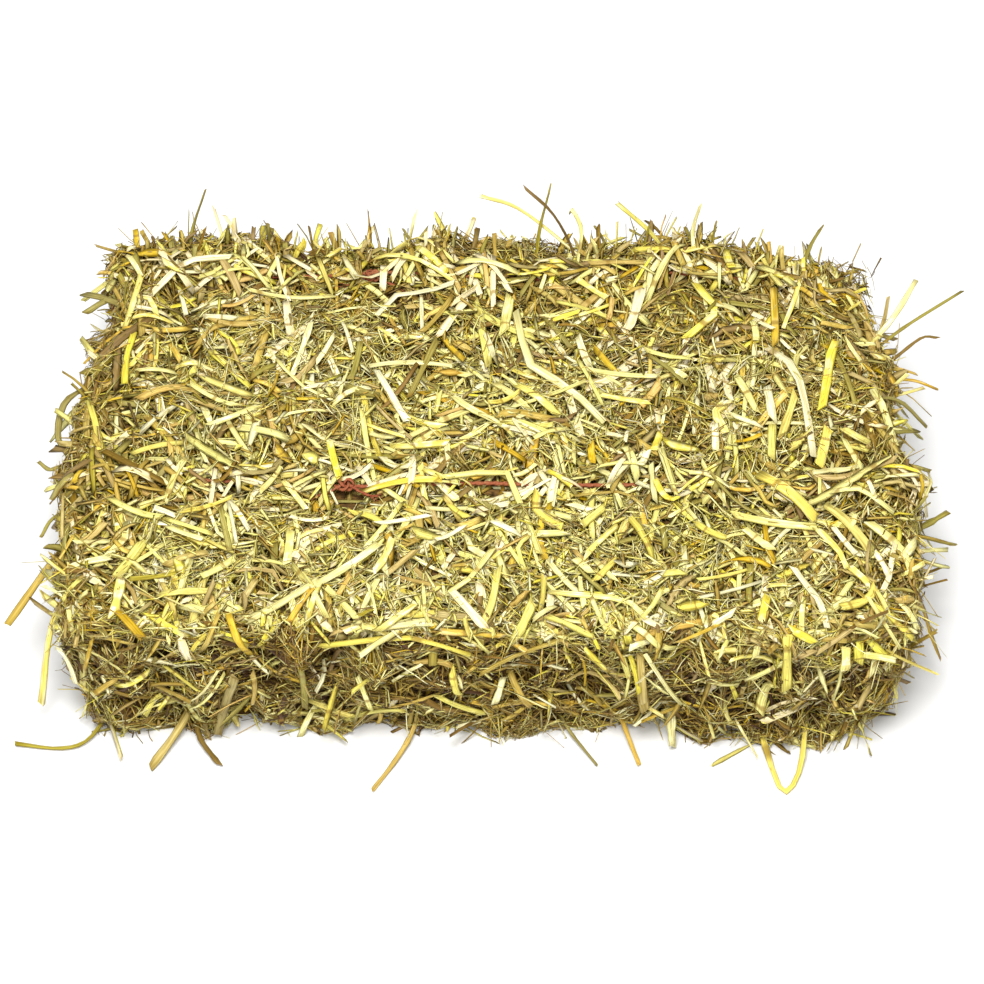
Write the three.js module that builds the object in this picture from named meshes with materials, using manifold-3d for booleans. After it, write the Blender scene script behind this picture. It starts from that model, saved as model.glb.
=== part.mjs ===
// A small square straw bale: a pressed block of cut straw, two lengths of twine
// tied lengthwise around it, and the loose stalks that stick out of its faces.
// Millimetres, +Z up. The origin is at the middle of the face that it rests on.

import * as THREE from 'three';
import { mergeVertices } from 'three/addons/utils/BufferGeometryUtils.js';
import Module from 'manifold-3d';

// Driving dimensions
const LENGTH = 420;
const WIDTH = 250;
const HEIGHT = 100;
const EDGE_RADIUS = 16;
const CORNER_RADIUS = 24;
const WORN_CORNER_RADIUS = 52;
const LUMP_HEIGHT = 2.4;
const FIT_GAP = 0.3;

const TWINE_RADIUS = 1.3;
const TWINE_SINK = 0.5;
const FRONT_TWINE_Y = -38;
const BACK_TWINE_Y = 98;
const FRONT_KNOT_X = -71;
const BACK_KNOT_X = -63;
const KNOT_RADIUS = 2.6;
const TWINE_TAIL = 17;
const TAIL_SWEEP = 7;

// How finely the pieces are faceted
const BLOCK_STEPS = [14, 9, 4];
const STALK_STEP = 30;
const TOP_TWINE_STEPS = 14;
const FOOT_TWINE_STEPS = 4;
const TWINE_SIDES = 5;
const KNOT_STEPS = 20;
const KNOT_SIDES = 4;
const TAIL_STEPS = 3;

// Stalks lie flat: their thickness is this share of their width
const FLATNESS = 0.45;
const THINNEST_STALK = 1.5;
// How far a pressed stalk's middle stands above the block's face
const STALK_RISE = 0.5;

const STRAW_YELLOW = '#d2b94e';
const PALE_STRAW = '#e2d9a4';
const AMBER_STRAW = '#b98a34';
const OLIVE_STRAW = '#8f8350';
const BROWN_STRAW = '#6f5a34';
const TWINE_RED = '#8c2f2c';

const HALF_LENGTH = LENGTH / 2;
const HALF_WIDTH = WIDTH / 2;

const wasm = await Module();
wasm.setup();

// Solids

function toSolid(geometry) {
  const bare = geometry.clone();
  bare.deleteAttribute('normal');
  bare.deleteAttribute('uv');
  const merged = mergeVertices(bare, 1e-3);
  const vertProperties = new Float32Array(merged.attributes.position.array);
  const triVerts = new Uint32Array(merged.index.array);
  return new wasm.Manifold(new wasm.Mesh({ numProp: 3, vertProperties, triVerts }));
}

function toGeometry(solid) {
  const mesh = solid.getMesh();
  const geometry = new THREE.BufferGeometry();
  geometry.setAttribute('position', new THREE.BufferAttribute(mesh.vertProperties, 3));
  geometry.setIndex(new THREE.BufferAttribute(mesh.triVerts, 1));
  geometry.computeVertexNormals();
  return geometry;
}

// A cut can free a crumb from the block: only the largest body stays.
function largestBody(solid) {
  const bodies = solid.decompose();
  bodies.sort((first, second) => second.volume() - first.volume());
  return bodies[0];
}

// The pressed block's surface

function lump(x, y, z) {
  const broad = Math.sin(0.031 * x + 0.6) * Math.cos(0.043 * y + 1.1);
  const middle = 0.7 * Math.sin(0.058 * x - 0.036 * y + 0.05 * z + 2.0);
  const small = 0.5 * Math.cos(0.09 * y + 0.07 * z - 0.05 * x);
  return LUMP_HEIGHT * (broad + middle + small);
}

function cornerRadius(x, y) {
  return x > 0 && y > 0 ? WORN_CORNER_RADIUS : CORNER_RADIUS;
}

// Brings the square corner of a plan point round to the corner's radius
function roundCorner(point) {
  const radius = cornerRadius(point.x, point.y);
  const centre = new THREE.Vector2(
    Math.sign(point.x) * (HALF_LENGTH - radius),
    Math.sign(point.y) * (HALF_WIDTH - radius),
  );
  const out = new THREE.Vector2(Math.abs(point.x), Math.abs(point.y));
  out.sub(new THREE.Vector2(Math.abs(centre.x), Math.abs(centre.y)));
  if (out.x <= 0 || out.y <= 0) return;
  const pull = Math.max(out.x, out.y) / out.length();
  point.x = centre.x + Math.sign(point.x) * out.x * pull;
  point.y = centre.y + Math.sign(point.y) * out.y * pull;
}

// How far an edge has curved away at a depth into its rounding
function edgeDrop(depth) {
  const inside = Math.min(Math.max(depth, 0), EDGE_RADIUS);
  return EDGE_RADIUS - Math.sqrt(EDGE_RADIUS ** 2 - inside ** 2);
}

function topHeight(x, y) {
  const overLength = Math.abs(x) - (HALF_LENGTH - EDGE_RADIUS);
  const overWidth = Math.abs(y) - (HALF_WIDTH - EDGE_RADIUS);
  const drop = edgeDrop(Math.max(overLength, overWidth));
  return HEIGHT - drop + lump(x, y, HEIGHT);
}

function frontDepth(x, z) {
  return -HALF_WIDTH + edgeDrop(z - (HEIGHT - EDGE_RADIUS)) - lump(x, -HALF_WIDTH, z);
}

function backDepth(x, z) {
  return HALF_WIDTH - edgeDrop(z - (HEIGHT - EDGE_RADIUS)) + lump(x, HALF_WIDTH, z);
}

// How far out an end of the block reaches, along X, at a place across it
function endReach(side, y, z) {
  const corner = new THREE.Vector3(side * HALF_LENGTH, y, z);
  roundCorner(corner);
  return corner.x + side * (lump(corner.x, y, z) - edgeDrop(z - (HEIGHT - EDGE_RADIUS)));
}

// Moves an evenly spaced grid line so that the outer ones bound the rounded edges
function gridLine(value, half, steps) {
  const index = Math.round(((value / half + 1) / 2) * steps);
  if (index === 0 || index === steps) return value;
  const flat = half - EDGE_RADIUS;
  return -flat + (2 * flat * (index - 1)) / (steps - 2);
}

function blockGeometry() {
  const geometry = new THREE.BoxGeometry(LENGTH, WIDTH, HEIGHT, ...BLOCK_STEPS);
  const position = geometry.attributes.position;
  const inner = new THREE.Vector3(
    HALF_LENGTH - EDGE_RADIUS,
    HALF_WIDTH - EDGE_RADIUS,
    HEIGHT / 2 - EDGE_RADIUS,
  );
  const point = new THREE.Vector3();
  for (let index = 0; index < position.count; index += 1) {
    point.fromBufferAttribute(position, index);
    point.x = gridLine(point.x, HALF_LENGTH, BLOCK_STEPS[0]);
    point.y = gridLine(point.y, HALF_WIDTH, BLOCK_STEPS[1]);
    point.z = gridLine(point.z, HEIGHT / 2, BLOCK_STEPS[2]);
    const atFoot = point.z < EDGE_RADIUS - HEIGHT / 2;
    const core = point.clone().clamp(inner.clone().negate(), inner);
    const outward = point.clone().sub(core).normalize();
    point.copy(core).addScaledVector(outward, EDGE_RADIUS);
    roundCorner(point);
    point.z += HEIGHT / 2;
    if (!atFoot) point.addScaledVector(outward, lump(point.x, point.y, point.z));
    position.setXYZ(index, point.x, point.y, point.z);
  }
  return geometry;
}

// Stalks

function stalkShape(width, thickness, sides) {
  const shape = new THREE.Shape();
  for (let side = 0; side < sides; side += 1) {
    const turn = ((side + 0.5) / sides) * 2 * Math.PI;
    const reach = 1 / Math.cos(Math.PI / sides);
    const x = 0.5 * thickness * reach * Math.cos(turn);
    const y = 0.5 * width * reach * Math.sin(turn);
    if (side === 0) shape.moveTo(x, y);
    else shape.lineTo(x, y);
  }
  shape.closePath();
  return shape;
}

function stalkGeometry(points, width, sides, grow = 0) {
  const path = points.map((point) => point.clone());
  if (grow > 0) {
    const back = path[0].clone().sub(path[1]).normalize();
    path[0].addScaledVector(back, grow);
  }
  const curve = new THREE.CatmullRomCurve3(path, false, 'centripetal');
  const thickness = Math.max(width * FLATNESS, THINNEST_STALK);
  const shape = stalkShape(width + 2 * grow, thickness + 2 * grow, sides);
  const steps = Math.max(path.length - 1, Math.ceil(curve.getLength() / STALK_STEP));
  return new THREE.ExtrudeGeometry(shape, { steps, extrudePath: curve, bevelEnabled: false });
}

// Stalks pressed into the top that stand out from the rest: plan points and width
const TOP_STALKS = [
  [4, [-180, 80], [-163, 100], [-137, 104]],
  [4, [-190, 66], [-168, 68]],
  [3.5, [-187, 55], [-188, 40], [-186, 22]],
  [3.5, [-152, 21], [-128, 9]],
  [4, [-107, 79], [-103, 54]],
  [5, [-177, 10], [-154, 22]],
  [3, [-110, 42], [-93, 18], [-80, 10]],
  [3.4, [-64, 111], [-41, 100], [-20, 89]],
  [4, [-40, 110], [-24, 93]],
  [3.5, [-18, 104], [13, 97]],
  [3.4, [-59, 66], [-51, 84], [-20, 87]],
  [4, [-13, 82], [-27, 55]],
  [4.5, [12, 73], [18, 41], [40, 20], [57, 0]],
  [4, [2, 26], [18, 8]],
  [4.5, [12, 28], [33, 3]],
  [4, [-58, 32], [-42, 2]],
  [3.5, [-19, 16], [8, -10]],
  [3.5, [-46, -8], [-13, 6]],
  [5, [70, 62], [77, 87]],
  [4.5, [105, 92], [117, 71], [100, 55]],
  [5, [178, 57], [174, 48], [166, 8]],
  [4.5, [141, 48], [154, 35], [157, 17], [161, -17]],
  [4, [147, 90], [145, 51]],
  [5, [122, 112], [124, 96]],
  [5, [-168, -74], [-178, -97]],
  [3.8, [-157, -107], [-132, -107]],
  [3.5, [-185, -54], [-159, -63]],
  [3.5, [-150, -27], [-158, -54]],
  [5, [-151, -13], [-121, -36]],
  [4, [-192, -23], [-159, -46]],
  [4, [-113, -116], [-82, -104]],
  [4, [-64, -44], [-28, -33]],
  [3.4, [8, -31], [17, -55], [25, -80]],
  [6, [24, -44], [23, -55], [35, -64]],
  [3.4, [30, -102], [69, -110], [76, -116]],
  [4.5, [22, -104], [16, -120]],
  [4, [5, -89], [3, -109], [-2, -120]],
  [4, [-81, -104], [-53, -82]],
  [4, [-80, -12], [-74, -32]],
  [6, [134, -32], [160, -57]],
  [4.5, [120, -56], [160, -65]],
  [6, [165, -49], [187, -77]],
  [5, [156, -49], [168, -44], [196, -28]],
  [4.5, [170, -111], [188, -103]],
  [6, [91, -113], [104, -111]],
];

// The faces that carry stalks of no marked place: how many, and how they lie
const SIDE_STALKS = [
  { count: 13, along: LENGTH, place: (a, z) => new THREE.Vector3(a, frontDepth(a, z) - STALK_RISE, z) },
  { count: 9, along: LENGTH, place: (a, z) => new THREE.Vector3(a, backDepth(a, z) + STALK_RISE, z) },
  { count: 5, along: WIDTH, place: (a, z) => new THREE.Vector3(endReach(-1, a, z) - STALK_RISE, a, z) },
  { count: 5, along: WIDTH, place: (a, z) => new THREE.Vector3(endReach(1, a, z) + STALK_RISE, a, z) },
];
const SIDE_STALK_LENGTH = [22, 46];
const SIDE_STALK_WIDTH = [3.5, 5.5];
const SIDE_STALK_LEAN = [0.15, 1.45];
const SIDE_STALK_SPREAD = [0.2, 0.8];
const SIDE_STALK_MARGIN = 34;
const SIDE_STALK_LOW = 14;
const SIDE_STALK_HIGH = 88;
const SIDE_STALK_MIDDLE = [22, 80];
const SIDE_STALK_SEED = 41;
const FUSED_SIDES = 4;

function seededRandom(seed) {
  let state = seed;
  return (low, high) => {
    state = (state * 1664525 + 1013904223) % 4294967296;
    return low + ((high - low) * state) / 4294967296;
  };
}

function topStalk([width, ...plan]) {
  const curve = new THREE.CatmullRomCurve3(
    plan.map(([x, y]) => new THREE.Vector3(x, y, 0)),
    false,
    'centripetal',
  );
  const steps = Math.max(plan.length - 1, Math.ceil(curve.getLength() / STALK_STEP));
  const points = curve.getPoints(steps);
  for (const point of points) point.z = topHeight(point.x, point.y) + STALK_RISE;
  return stalkGeometry(points, width, FUSED_SIDES);
}

function sideStalks() {
  const random = seededRandom(SIDE_STALK_SEED);
  const geometries = [];
  for (const { count, along, place } of SIDE_STALKS) {
    for (let index = 0; index < count; index += 1) {
      const room = along / 2 - SIDE_STALK_MARGIN;
      const middle = -room + (2 * room * (index + random(...SIDE_STALK_SPREAD))) / count;
      const height = random(...SIDE_STALK_MIDDLE);
      const half = random(...SIDE_STALK_LENGTH) / 2;
      const lean = random(...SIDE_STALK_LEAN) * (random(-1, 1) < 0 ? -1 : 1);
      const points = [-1, 1].map((end) => {
        const z = height + end * half * Math.sin(lean);
        return place(
          middle + end * half * Math.cos(lean),
          Math.min(Math.max(z, SIDE_STALK_LOW), SIDE_STALK_HIGH),
        );
      });
      geometries.push(stalkGeometry(points, random(...SIDE_STALK_WIDTH), FUSED_SIDES));
    }
  }
  return geometries;
}

// Loose stalks that stick out, by side: width, colour and the points they follow,
// from the root inside the block to the tip
const STRAY_STALKS = {
  back: [
    [2.6, OLIVE_STRAW, [-161, 114, 90], [-158, 123, 108], [-150, 126, 133]],
    [1.8, BROWN_STRAW, [44, 111, 92], [40, 117, 106], [30, 119, 128], [16, 120, 145]],
    [2.2, OLIVE_STRAW, [22, 114, 92], [24, 122, 112], [29, 125, 140]],
    [2, STRAW_YELLOW, [52, 116, 90], [15, 129, 118], [-7, 131, 127]],
    [2.2, PALE_STRAW, [44, 104, 90], [44, 110, 99], [46, 124, 109], [41, 128, 120], [40, 131, 115]],
    [3, STRAW_YELLOW, [94, 110, 92], [84, 121, 108], [64, 125, 129]],
    [2.6, PALE_STRAW, [108, 110, 90], [104, 121, 110], [107, 125, 128]],
    [2.4, OLIVE_STRAW, [158, 98, 92], [164, 112, 108], [170, 117, 121]],
  ],
  right: [
    [2, OLIVE_STRAW, [196, 58, 92], [214, 72, 96], [244, 95, 97]],
    [3, PALE_STRAW, [192, 56, 96], [207, 74, 101], [219, 94, 106]],
    [1.8, BROWN_STRAW, [196, 44, 90], [209, 54, 94], [221, 63, 97], [229, 63, 97]],
    [2.6, AMBER_STRAW, [198, 46, 82], [215, 42, 88], [228, 36, 88]],
    [3, OLIVE_STRAW, [176, 17, 97], [190, 19, 101], [206, 20, 98], [220, 11, 89]],
    [5, BROWN_STRAW, [188, 0, 95], [200, -10, 100], [210, -20, 93], [218, -26, 84], [222, -26, 82]],
    [3.4, OLIVE_STRAW, [196, -52, 74], [213, -46, 78], [228, -37, 80]],
    [3.4, OLIVE_STRAW, [196, -40, 70], [214, -44, 70], [232, -48, 68]],
    [1.8, BROWN_STRAW, [198, -66, 58], [215, -60, 58], [228, -54, 58]],
    [5, AMBER_STRAW, [196, -76, 84], [211, -84, 72], [219, -92, 52], [224, -100, 43]],
  ],
  left: [
    [3.5, STRAW_YELLOW, [-196, -94, 94], [-212, -106, 72], [-222, -118, 22]],
    [2, OLIVE_STRAW, [-198, -20, 88], [-214, -22, 90], [-220, -24, 90], [-226, -19, 90]],
    [1.8, OLIVE_STRAW, [-198, -38, 82], [-216, -46, 80], [-222, -57, 78]],
    [3.6, AMBER_STRAW, [-196, -50, 80], [-213, -67, 76], [-236, -99, 62]],
    [3.5, OLIVE_STRAW, [-203, 30, 92], [-216, 18, 92], [-218, -2, 90], [-212, -13, 88]],
  ],
  foot: [
    [2, OLIVE_STRAW, [-190, -112, 6], [-200, -128, 3.5], [-214, -132, 1.6], [-236, -130, 2.4]],
    [2.6, AMBER_STRAW, [-34, -112, 8], [-39, -126, 5], [-47, -140, 2.4], [-56, -154, 1.8]],
    [3, STRAW_YELLOW, [136, -112, 8], [139, -126, 4], [147, -152, 2], [156, -140, 3.4], [160, -112, 14]],
    [1.8, OLIVE_STRAW, [36, -112, 9], [42, -121, 5], [55, -138, 1.8]],
    [3, AMBER_STRAW, [66, -112, 12], [70, -122, 7], [76, -137, 2]],
    [4, STRAW_YELLOW, [-148, -112, 14], [-154, -124, 9], [-167, -143, 2.6]],
    [3, BROWN_STRAW, [-146, -110, 6], [-144, -126, 5], [-133, -141, 2.2]],
    [5, PALE_STRAW, [92, -112, 24], [92, -124, 14], [93, -128, 4]],
  ],
  rear: [
    [3, STRAW_YELLOW, [-120, 112, 60], [-112, 126, 56], [-100, 138, 44]],
    [3, AMBER_STRAW, [-30, 112, 30], [-36, 126, 26], [-50, 142, 14]],
    [2.4, OLIVE_STRAW, [70, 112, 72], [76, 126, 70], [92, 140, 66]],
    [3, PALE_STRAW, [130, 108, 20], [138, 124, 16], [150, 140, 3]],
    [3, STRAW_YELLOW, [-170, 106, 40], [-180, 122, 38], [-196, 134, 30]],
  ],
};
const STRAY_SIDES = 5;

function strayStalks() {
  const strays = [];
  for (const [side, stalks] of Object.entries(STRAY_STALKS)) {
    stalks.forEach(([width, colour, ...places], index) => {
      const points = places.map((place) => new THREE.Vector3(...place));
      strays.push({ name: `stray_stalk_${side}_${index + 1}`, width, colour, points });
    });
  }
  return strays;
}

// Twine

// A line pulled straight from each point to the next
class TautLine extends THREE.CatmullRomCurve3 {
  getPointAt(along, target) {
    return this.getPoint(along, target);
  }

  getTangentAt(along, target) {
    return this.getTangent(along, target);
  }
}

function twineLoop(y) {
  const points = [];
  const slant = EDGE_RADIUS * (1 - Math.SQRT1_2) + TWINE_SINK;
  const endHeights = [HEIGHT - slant, HEIGHT - EDGE_RADIUS, HEIGHT / 2, EDGE_RADIUS];
  const underside = TWINE_RADIUS + 0.2;
  const add = (x, z) => points.push(new THREE.Vector3(x, y, z));
  const end = (side, z) => add(endReach(side, y, z) - side * TWINE_SINK, z);
  const footReach = (side) => {
    const corner = new THREE.Vector3(side * HALF_LENGTH, y, 0);
    roundCorner(corner);
    return corner.x;
  };
  const flat = HALF_LENGTH - 1.2 * EDGE_RADIUS;
  for (let step = 0; step <= TOP_TWINE_STEPS; step += 1) {
    const x = -flat + (2 * flat * step) / TOP_TWINE_STEPS;
    add(x, topHeight(x, y) - TWINE_SINK);
  }
  for (const z of endHeights) end(1, z);
  add(footReach(1) - slant, slant);
  const [right, left] = [footReach(1) - EDGE_RADIUS, footReach(-1) + EDGE_RADIUS];
  for (let step = 0; step <= FOOT_TWINE_STEPS; step += 1) {
    add(right + ((left - right) * step) / FOOT_TWINE_STEPS, underside);
  }
  add(footReach(-1) + slant, slant);
  for (const z of endHeights.reverse()) end(-1, z);
  return new TautLine(points, true, 'centripetal');
}

function loopGeometry(curve, radius) {
  return new THREE.TubeGeometry(curve, curve.points.length, radius, TWINE_SIDES, true);
}

// A small knot on the top of the loop, and the two cut ends of the twine
function knotGeometries(x, y) {
  const height = topHeight(x, y);
  const strand = 0.8 * TWINE_RADIUS;
  const knot = new THREE.TorusKnotGeometry(KNOT_RADIUS, strand, KNOT_STEPS, KNOT_SIDES, 2, 3);
  knot.translate(x, y, height + 0.55 * KNOT_RADIUS);
  const tail = (side) => {
    const points = [
      new THREE.Vector3(x + side * TWINE_RADIUS, y, height + TWINE_RADIUS),
      new THREE.Vector3(x + 0.5 * side * TWINE_TAIL, y - 0.6 * TAIL_SWEEP, height + 1.9 * TWINE_RADIUS),
      new THREE.Vector3(x + side * TWINE_TAIL, y - TAIL_SWEEP, height + 1.5 * TWINE_RADIUS),
    ];
    const shape = stalkShape(2 * TWINE_RADIUS, 2 * TWINE_RADIUS, TWINE_SIDES);
    const extrudePath = new THREE.CatmullRomCurve3(points, false, 'centripetal');
    return new THREE.ExtrudeGeometry(shape, { steps: TAIL_STEPS, extrudePath, bevelEnabled: false });
  };
  return [knot, tail(-1), tail(1)];
}

// The loop with its knot, and the groove and hollow that they lie in
function twine(knotX, y) {
  const curve = twineLoop(y);
  let solid = toSolid(loopGeometry(curve, TWINE_RADIUS));
  let groove = toSolid(loopGeometry(curve, TWINE_RADIUS + FIT_GAP));
  for (const geometry of knotGeometries(knotX, y)) solid = solid.add(toSolid(geometry));
  const hollow = new THREE.BoxGeometry(2.6 * TWINE_TAIL, 6.2 * KNOT_RADIUS, 5 * KNOT_RADIUS);
  hollow.translate(knotX, y - 0.35 * TAIL_SWEEP, topHeight(knotX, y) + 2 * KNOT_RADIUS);
  groove = groove.add(toSolid(hollow));
  return { solid: largestBody(solid), groove };
}

// The assembly

function straw(geometry, name, colour) {
  const material = new THREE.MeshStandardMaterial({ color: colour, roughness: 0.85, metalness: 0 });
  const mesh = new THREE.Mesh(geometry, material);
  mesh.name = name;
  return mesh;
}

const frontTwine = twine(FRONT_KNOT_X, FRONT_TWINE_Y);
const backTwine = twine(BACK_KNOT_X, BACK_TWINE_Y);
const strays = strayStalks();

let block = toSolid(blockGeometry());
for (const stalk of TOP_STALKS) block = block.add(toSolid(topStalk(stalk)));
for (const geometry of sideStalks()) block = block.add(toSolid(geometry));
block = block.subtract(frontTwine.groove).subtract(backTwine.groove);
for (const { points, width } of strays) {
  block = block.subtract(toSolid(stalkGeometry(points, width, STRAY_SIDES, FIT_GAP)));
}

const bale = new THREE.Group();
bale.add(straw(toGeometry(largestBody(block)), 'pressed_straw', STRAW_YELLOW));
bale.add(straw(toGeometry(frontTwine.solid), 'twine_front', TWINE_RED));
bale.add(straw(toGeometry(backTwine.solid), 'twine_back', TWINE_RED));
for (const { name, width, colour, points } of strays) {
  bale.add(straw(stalkGeometry(points, width, STRAY_SIDES), name, colour));
}

export default bale;
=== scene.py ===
import math

import bpy
import numpy as np
from mathutils import Euler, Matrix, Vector


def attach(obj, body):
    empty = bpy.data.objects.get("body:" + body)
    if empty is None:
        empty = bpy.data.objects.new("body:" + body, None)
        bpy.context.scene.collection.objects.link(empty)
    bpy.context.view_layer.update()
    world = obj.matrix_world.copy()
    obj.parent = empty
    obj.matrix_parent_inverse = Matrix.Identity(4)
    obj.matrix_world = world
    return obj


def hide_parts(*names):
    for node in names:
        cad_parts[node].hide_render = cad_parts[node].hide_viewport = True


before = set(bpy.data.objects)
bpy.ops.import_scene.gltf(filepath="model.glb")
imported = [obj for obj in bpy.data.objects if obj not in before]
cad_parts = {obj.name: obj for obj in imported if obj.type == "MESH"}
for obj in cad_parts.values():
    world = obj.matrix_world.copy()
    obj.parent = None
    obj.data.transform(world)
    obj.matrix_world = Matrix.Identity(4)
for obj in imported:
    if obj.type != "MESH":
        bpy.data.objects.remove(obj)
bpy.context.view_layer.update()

# A small square straw bale. Every stalk, leaf, fibre and scrap of chaff is mesh of its own:
# each face is a mat of straws, laid one by one so that they rest on each other.
# Sizes are in millimetres, as in the CAD model, and become metres when a mesh is made.
MM = 0.001
LENGTH = 420.0
WIDTH = 250.0
HEIGHT = 100.0
EDGE_RADIUS = 16.0
CORNER_RADIUS = 26.0
WORN_BACK_RADIUS = 64.0
WORN_FRONT_RADIUS = 30.0
LUMP_HEIGHT = 2.4
HALF_LENGTH = LENGTH / 2
HALF_WIDTH = WIDTH / 2
HALF_HEIGHT = HEIGHT / 2
TINY = 1e-6

# The lowest straw's height over the floor, and the height in which straws are pressed together there
FLOOR_CLEARANCE = 0.25
FLOOR_GIVE = 1.5

TWINE_RADIUS = 1.3
TWINE_SINK = 0.5
TWINE_PITCH = 9.0
TWINE_STEP = 2.2
FRONT_TWINE_Y = -38.0
BACK_TWINE_Y = 98.0
FRONT_KNOT_X = -71.0
BACK_KNOT_X = -63.0
KNOT_RADIUS = 2.6
KNOT_STRAND = 0.95
TWINE_TAIL = 17.0
TAIL_SWEEP = 7.0

# The camera, fitted to the block's corners in the photo: angles in degrees and its place in metres
CAMERA_LENS = 108.82
CAMERA_SENSOR = 36.0
CAMERA_TILT = 37.615
CAMERA_TURN = 0.8228
CAMERA_PLACE = (0.01424, -0.93628, 1.25988)

SEED = 20
rng = np.random.default_rng(SEED)


# The pressed block's surface

def lump(x, y, z):
    """The block's slow bulges and hollows, as in the CAD model."""
    broad = np.sin(0.031 * x + 0.6) * np.cos(0.043 * y + 1.1)
    middle = 0.7 * np.sin(0.058 * x - 0.036 * y + 0.05 * z + 2.0)
    small = 0.5 * np.cos(0.09 * y + 0.07 * z - 0.05 * x)
    return LUMP_HEIGHT * (broad + middle + small)


def round_corners(x, y):
    """Brings the square corners of plan points round to the block's corner radii."""
    radius = np.where(x > 0, np.where(y > 0, WORN_BACK_RADIUS, WORN_FRONT_RADIUS), CORNER_RADIUS)
    out_x = np.abs(x) - (HALF_LENGTH - radius)
    out_y = np.abs(y) - (HALF_WIDTH - radius)
    in_corner = (out_x > 0) & (out_y > 0)
    reach = np.maximum(np.hypot(out_x, out_y), TINY)
    pull = np.where(in_corner, np.maximum(out_x, out_y) / reach, 1.0)
    round_x = np.where(in_corner, np.sign(x) * (HALF_LENGTH - radius + out_x * pull), x)
    round_y = np.where(in_corner, np.sign(y) * (HALF_WIDTH - radius + out_y * pull), y)
    return round_x, round_y


# Dents and bulges of the worn block: centre, reach, and how far the middle is pushed
BULGES = [
    ((212, -128, 5), 48, (-14, 4, 0)),
    ((-212, -128, 5), 34, (9, 4, 0)),
    ((-105, -128, 0), 40, (0, 8, 0)),
    ((-60, -128, 0), 40, (0, 5, 0)),
    ((10, -128, 0), 46, (0, 6, 0)),
    ((90, -128, 0), 46, (0, 8, 0)),
    ((210, 105, 85), 48, (-12, -11, 0)),
    ((212, 2, 85), 24, (-8, 0, 0)),
    ((-212, 88, 80), 46, (11, 0, 0)),
    ((110, 128, 98), 50, (0, 4, 5)),
    ((-60, 128, 98), 50, (0, 2, 3)),
]


def worn(points):
    """Pushes points of the block's surface by its dents and bulges."""
    moved = np.array(points, dtype=float)
    for centre, reach, push in BULGES:
        away = np.linalg.norm(points - np.array(centre), axis=-1, keepdims=True)
        moved += np.exp(-((away / reach) ** 2)) * np.array(push)
    return moved


def off_floor(height):
    """Keeps heights above the floor, without bringing any two of them together."""
    start = FLOOR_CLEARANCE + FLOOR_GIVE
    pressed = FLOOR_CLEARANCE + FLOOR_GIVE * np.exp((np.minimum(height, start) - start) / FLOOR_GIVE)
    return np.where(height < start, pressed, height)


def edge_drop(depth):
    """How far the rounded top edge falls away at a depth into it."""
    return EDGE_RADIUS - np.sqrt(EDGE_RADIUS ** 2 - np.clip(depth, 0, EDGE_RADIUS) ** 2)


def top_height(x, y):
    into_edge = np.maximum(np.abs(x) - (HALF_LENGTH - EDGE_RADIUS), np.abs(y) - (HALF_WIDTH - EDGE_RADIUS))
    return HEIGHT - edge_drop(into_edge) + lump(x, y, HEIGHT)


def end_reach(side, y, z):
    """How far the left (-1) or right (1) end reaches along x."""
    x, y = round_corners(np.array(side * HALF_LENGTH), np.array(y))
    return x + side * (lump(x, y, z) - edge_drop(z - (HEIGHT - EDGE_RADIUS)))


def rolled(coord, half, radius_low, radius_high):
    """Carries a face coordinate round the face's edges: its new value, the drop and the turn."""
    radius = np.where(coord > 0, radius_high, radius_low)
    excess = np.maximum(np.abs(coord) - (half - radius), 0.0)
    turn = np.minimum(excess / np.maximum(radius, TINY), math.pi / 2)
    past = np.maximum(excess - radius * math.pi / 2, 0.0)
    reach = np.minimum(np.abs(coord), half - radius) + radius * np.sin(turn)
    drop = radius * (1 - np.cos(turn)) + past
    straight = radius < TINY
    reach = np.where(straight, np.abs(coord), reach)
    turn = np.where(straight, 0.0, turn)
    drop = np.where(straight, 0.0, drop)
    return np.sign(coord) * reach, drop, np.sign(coord) * turn


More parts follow.
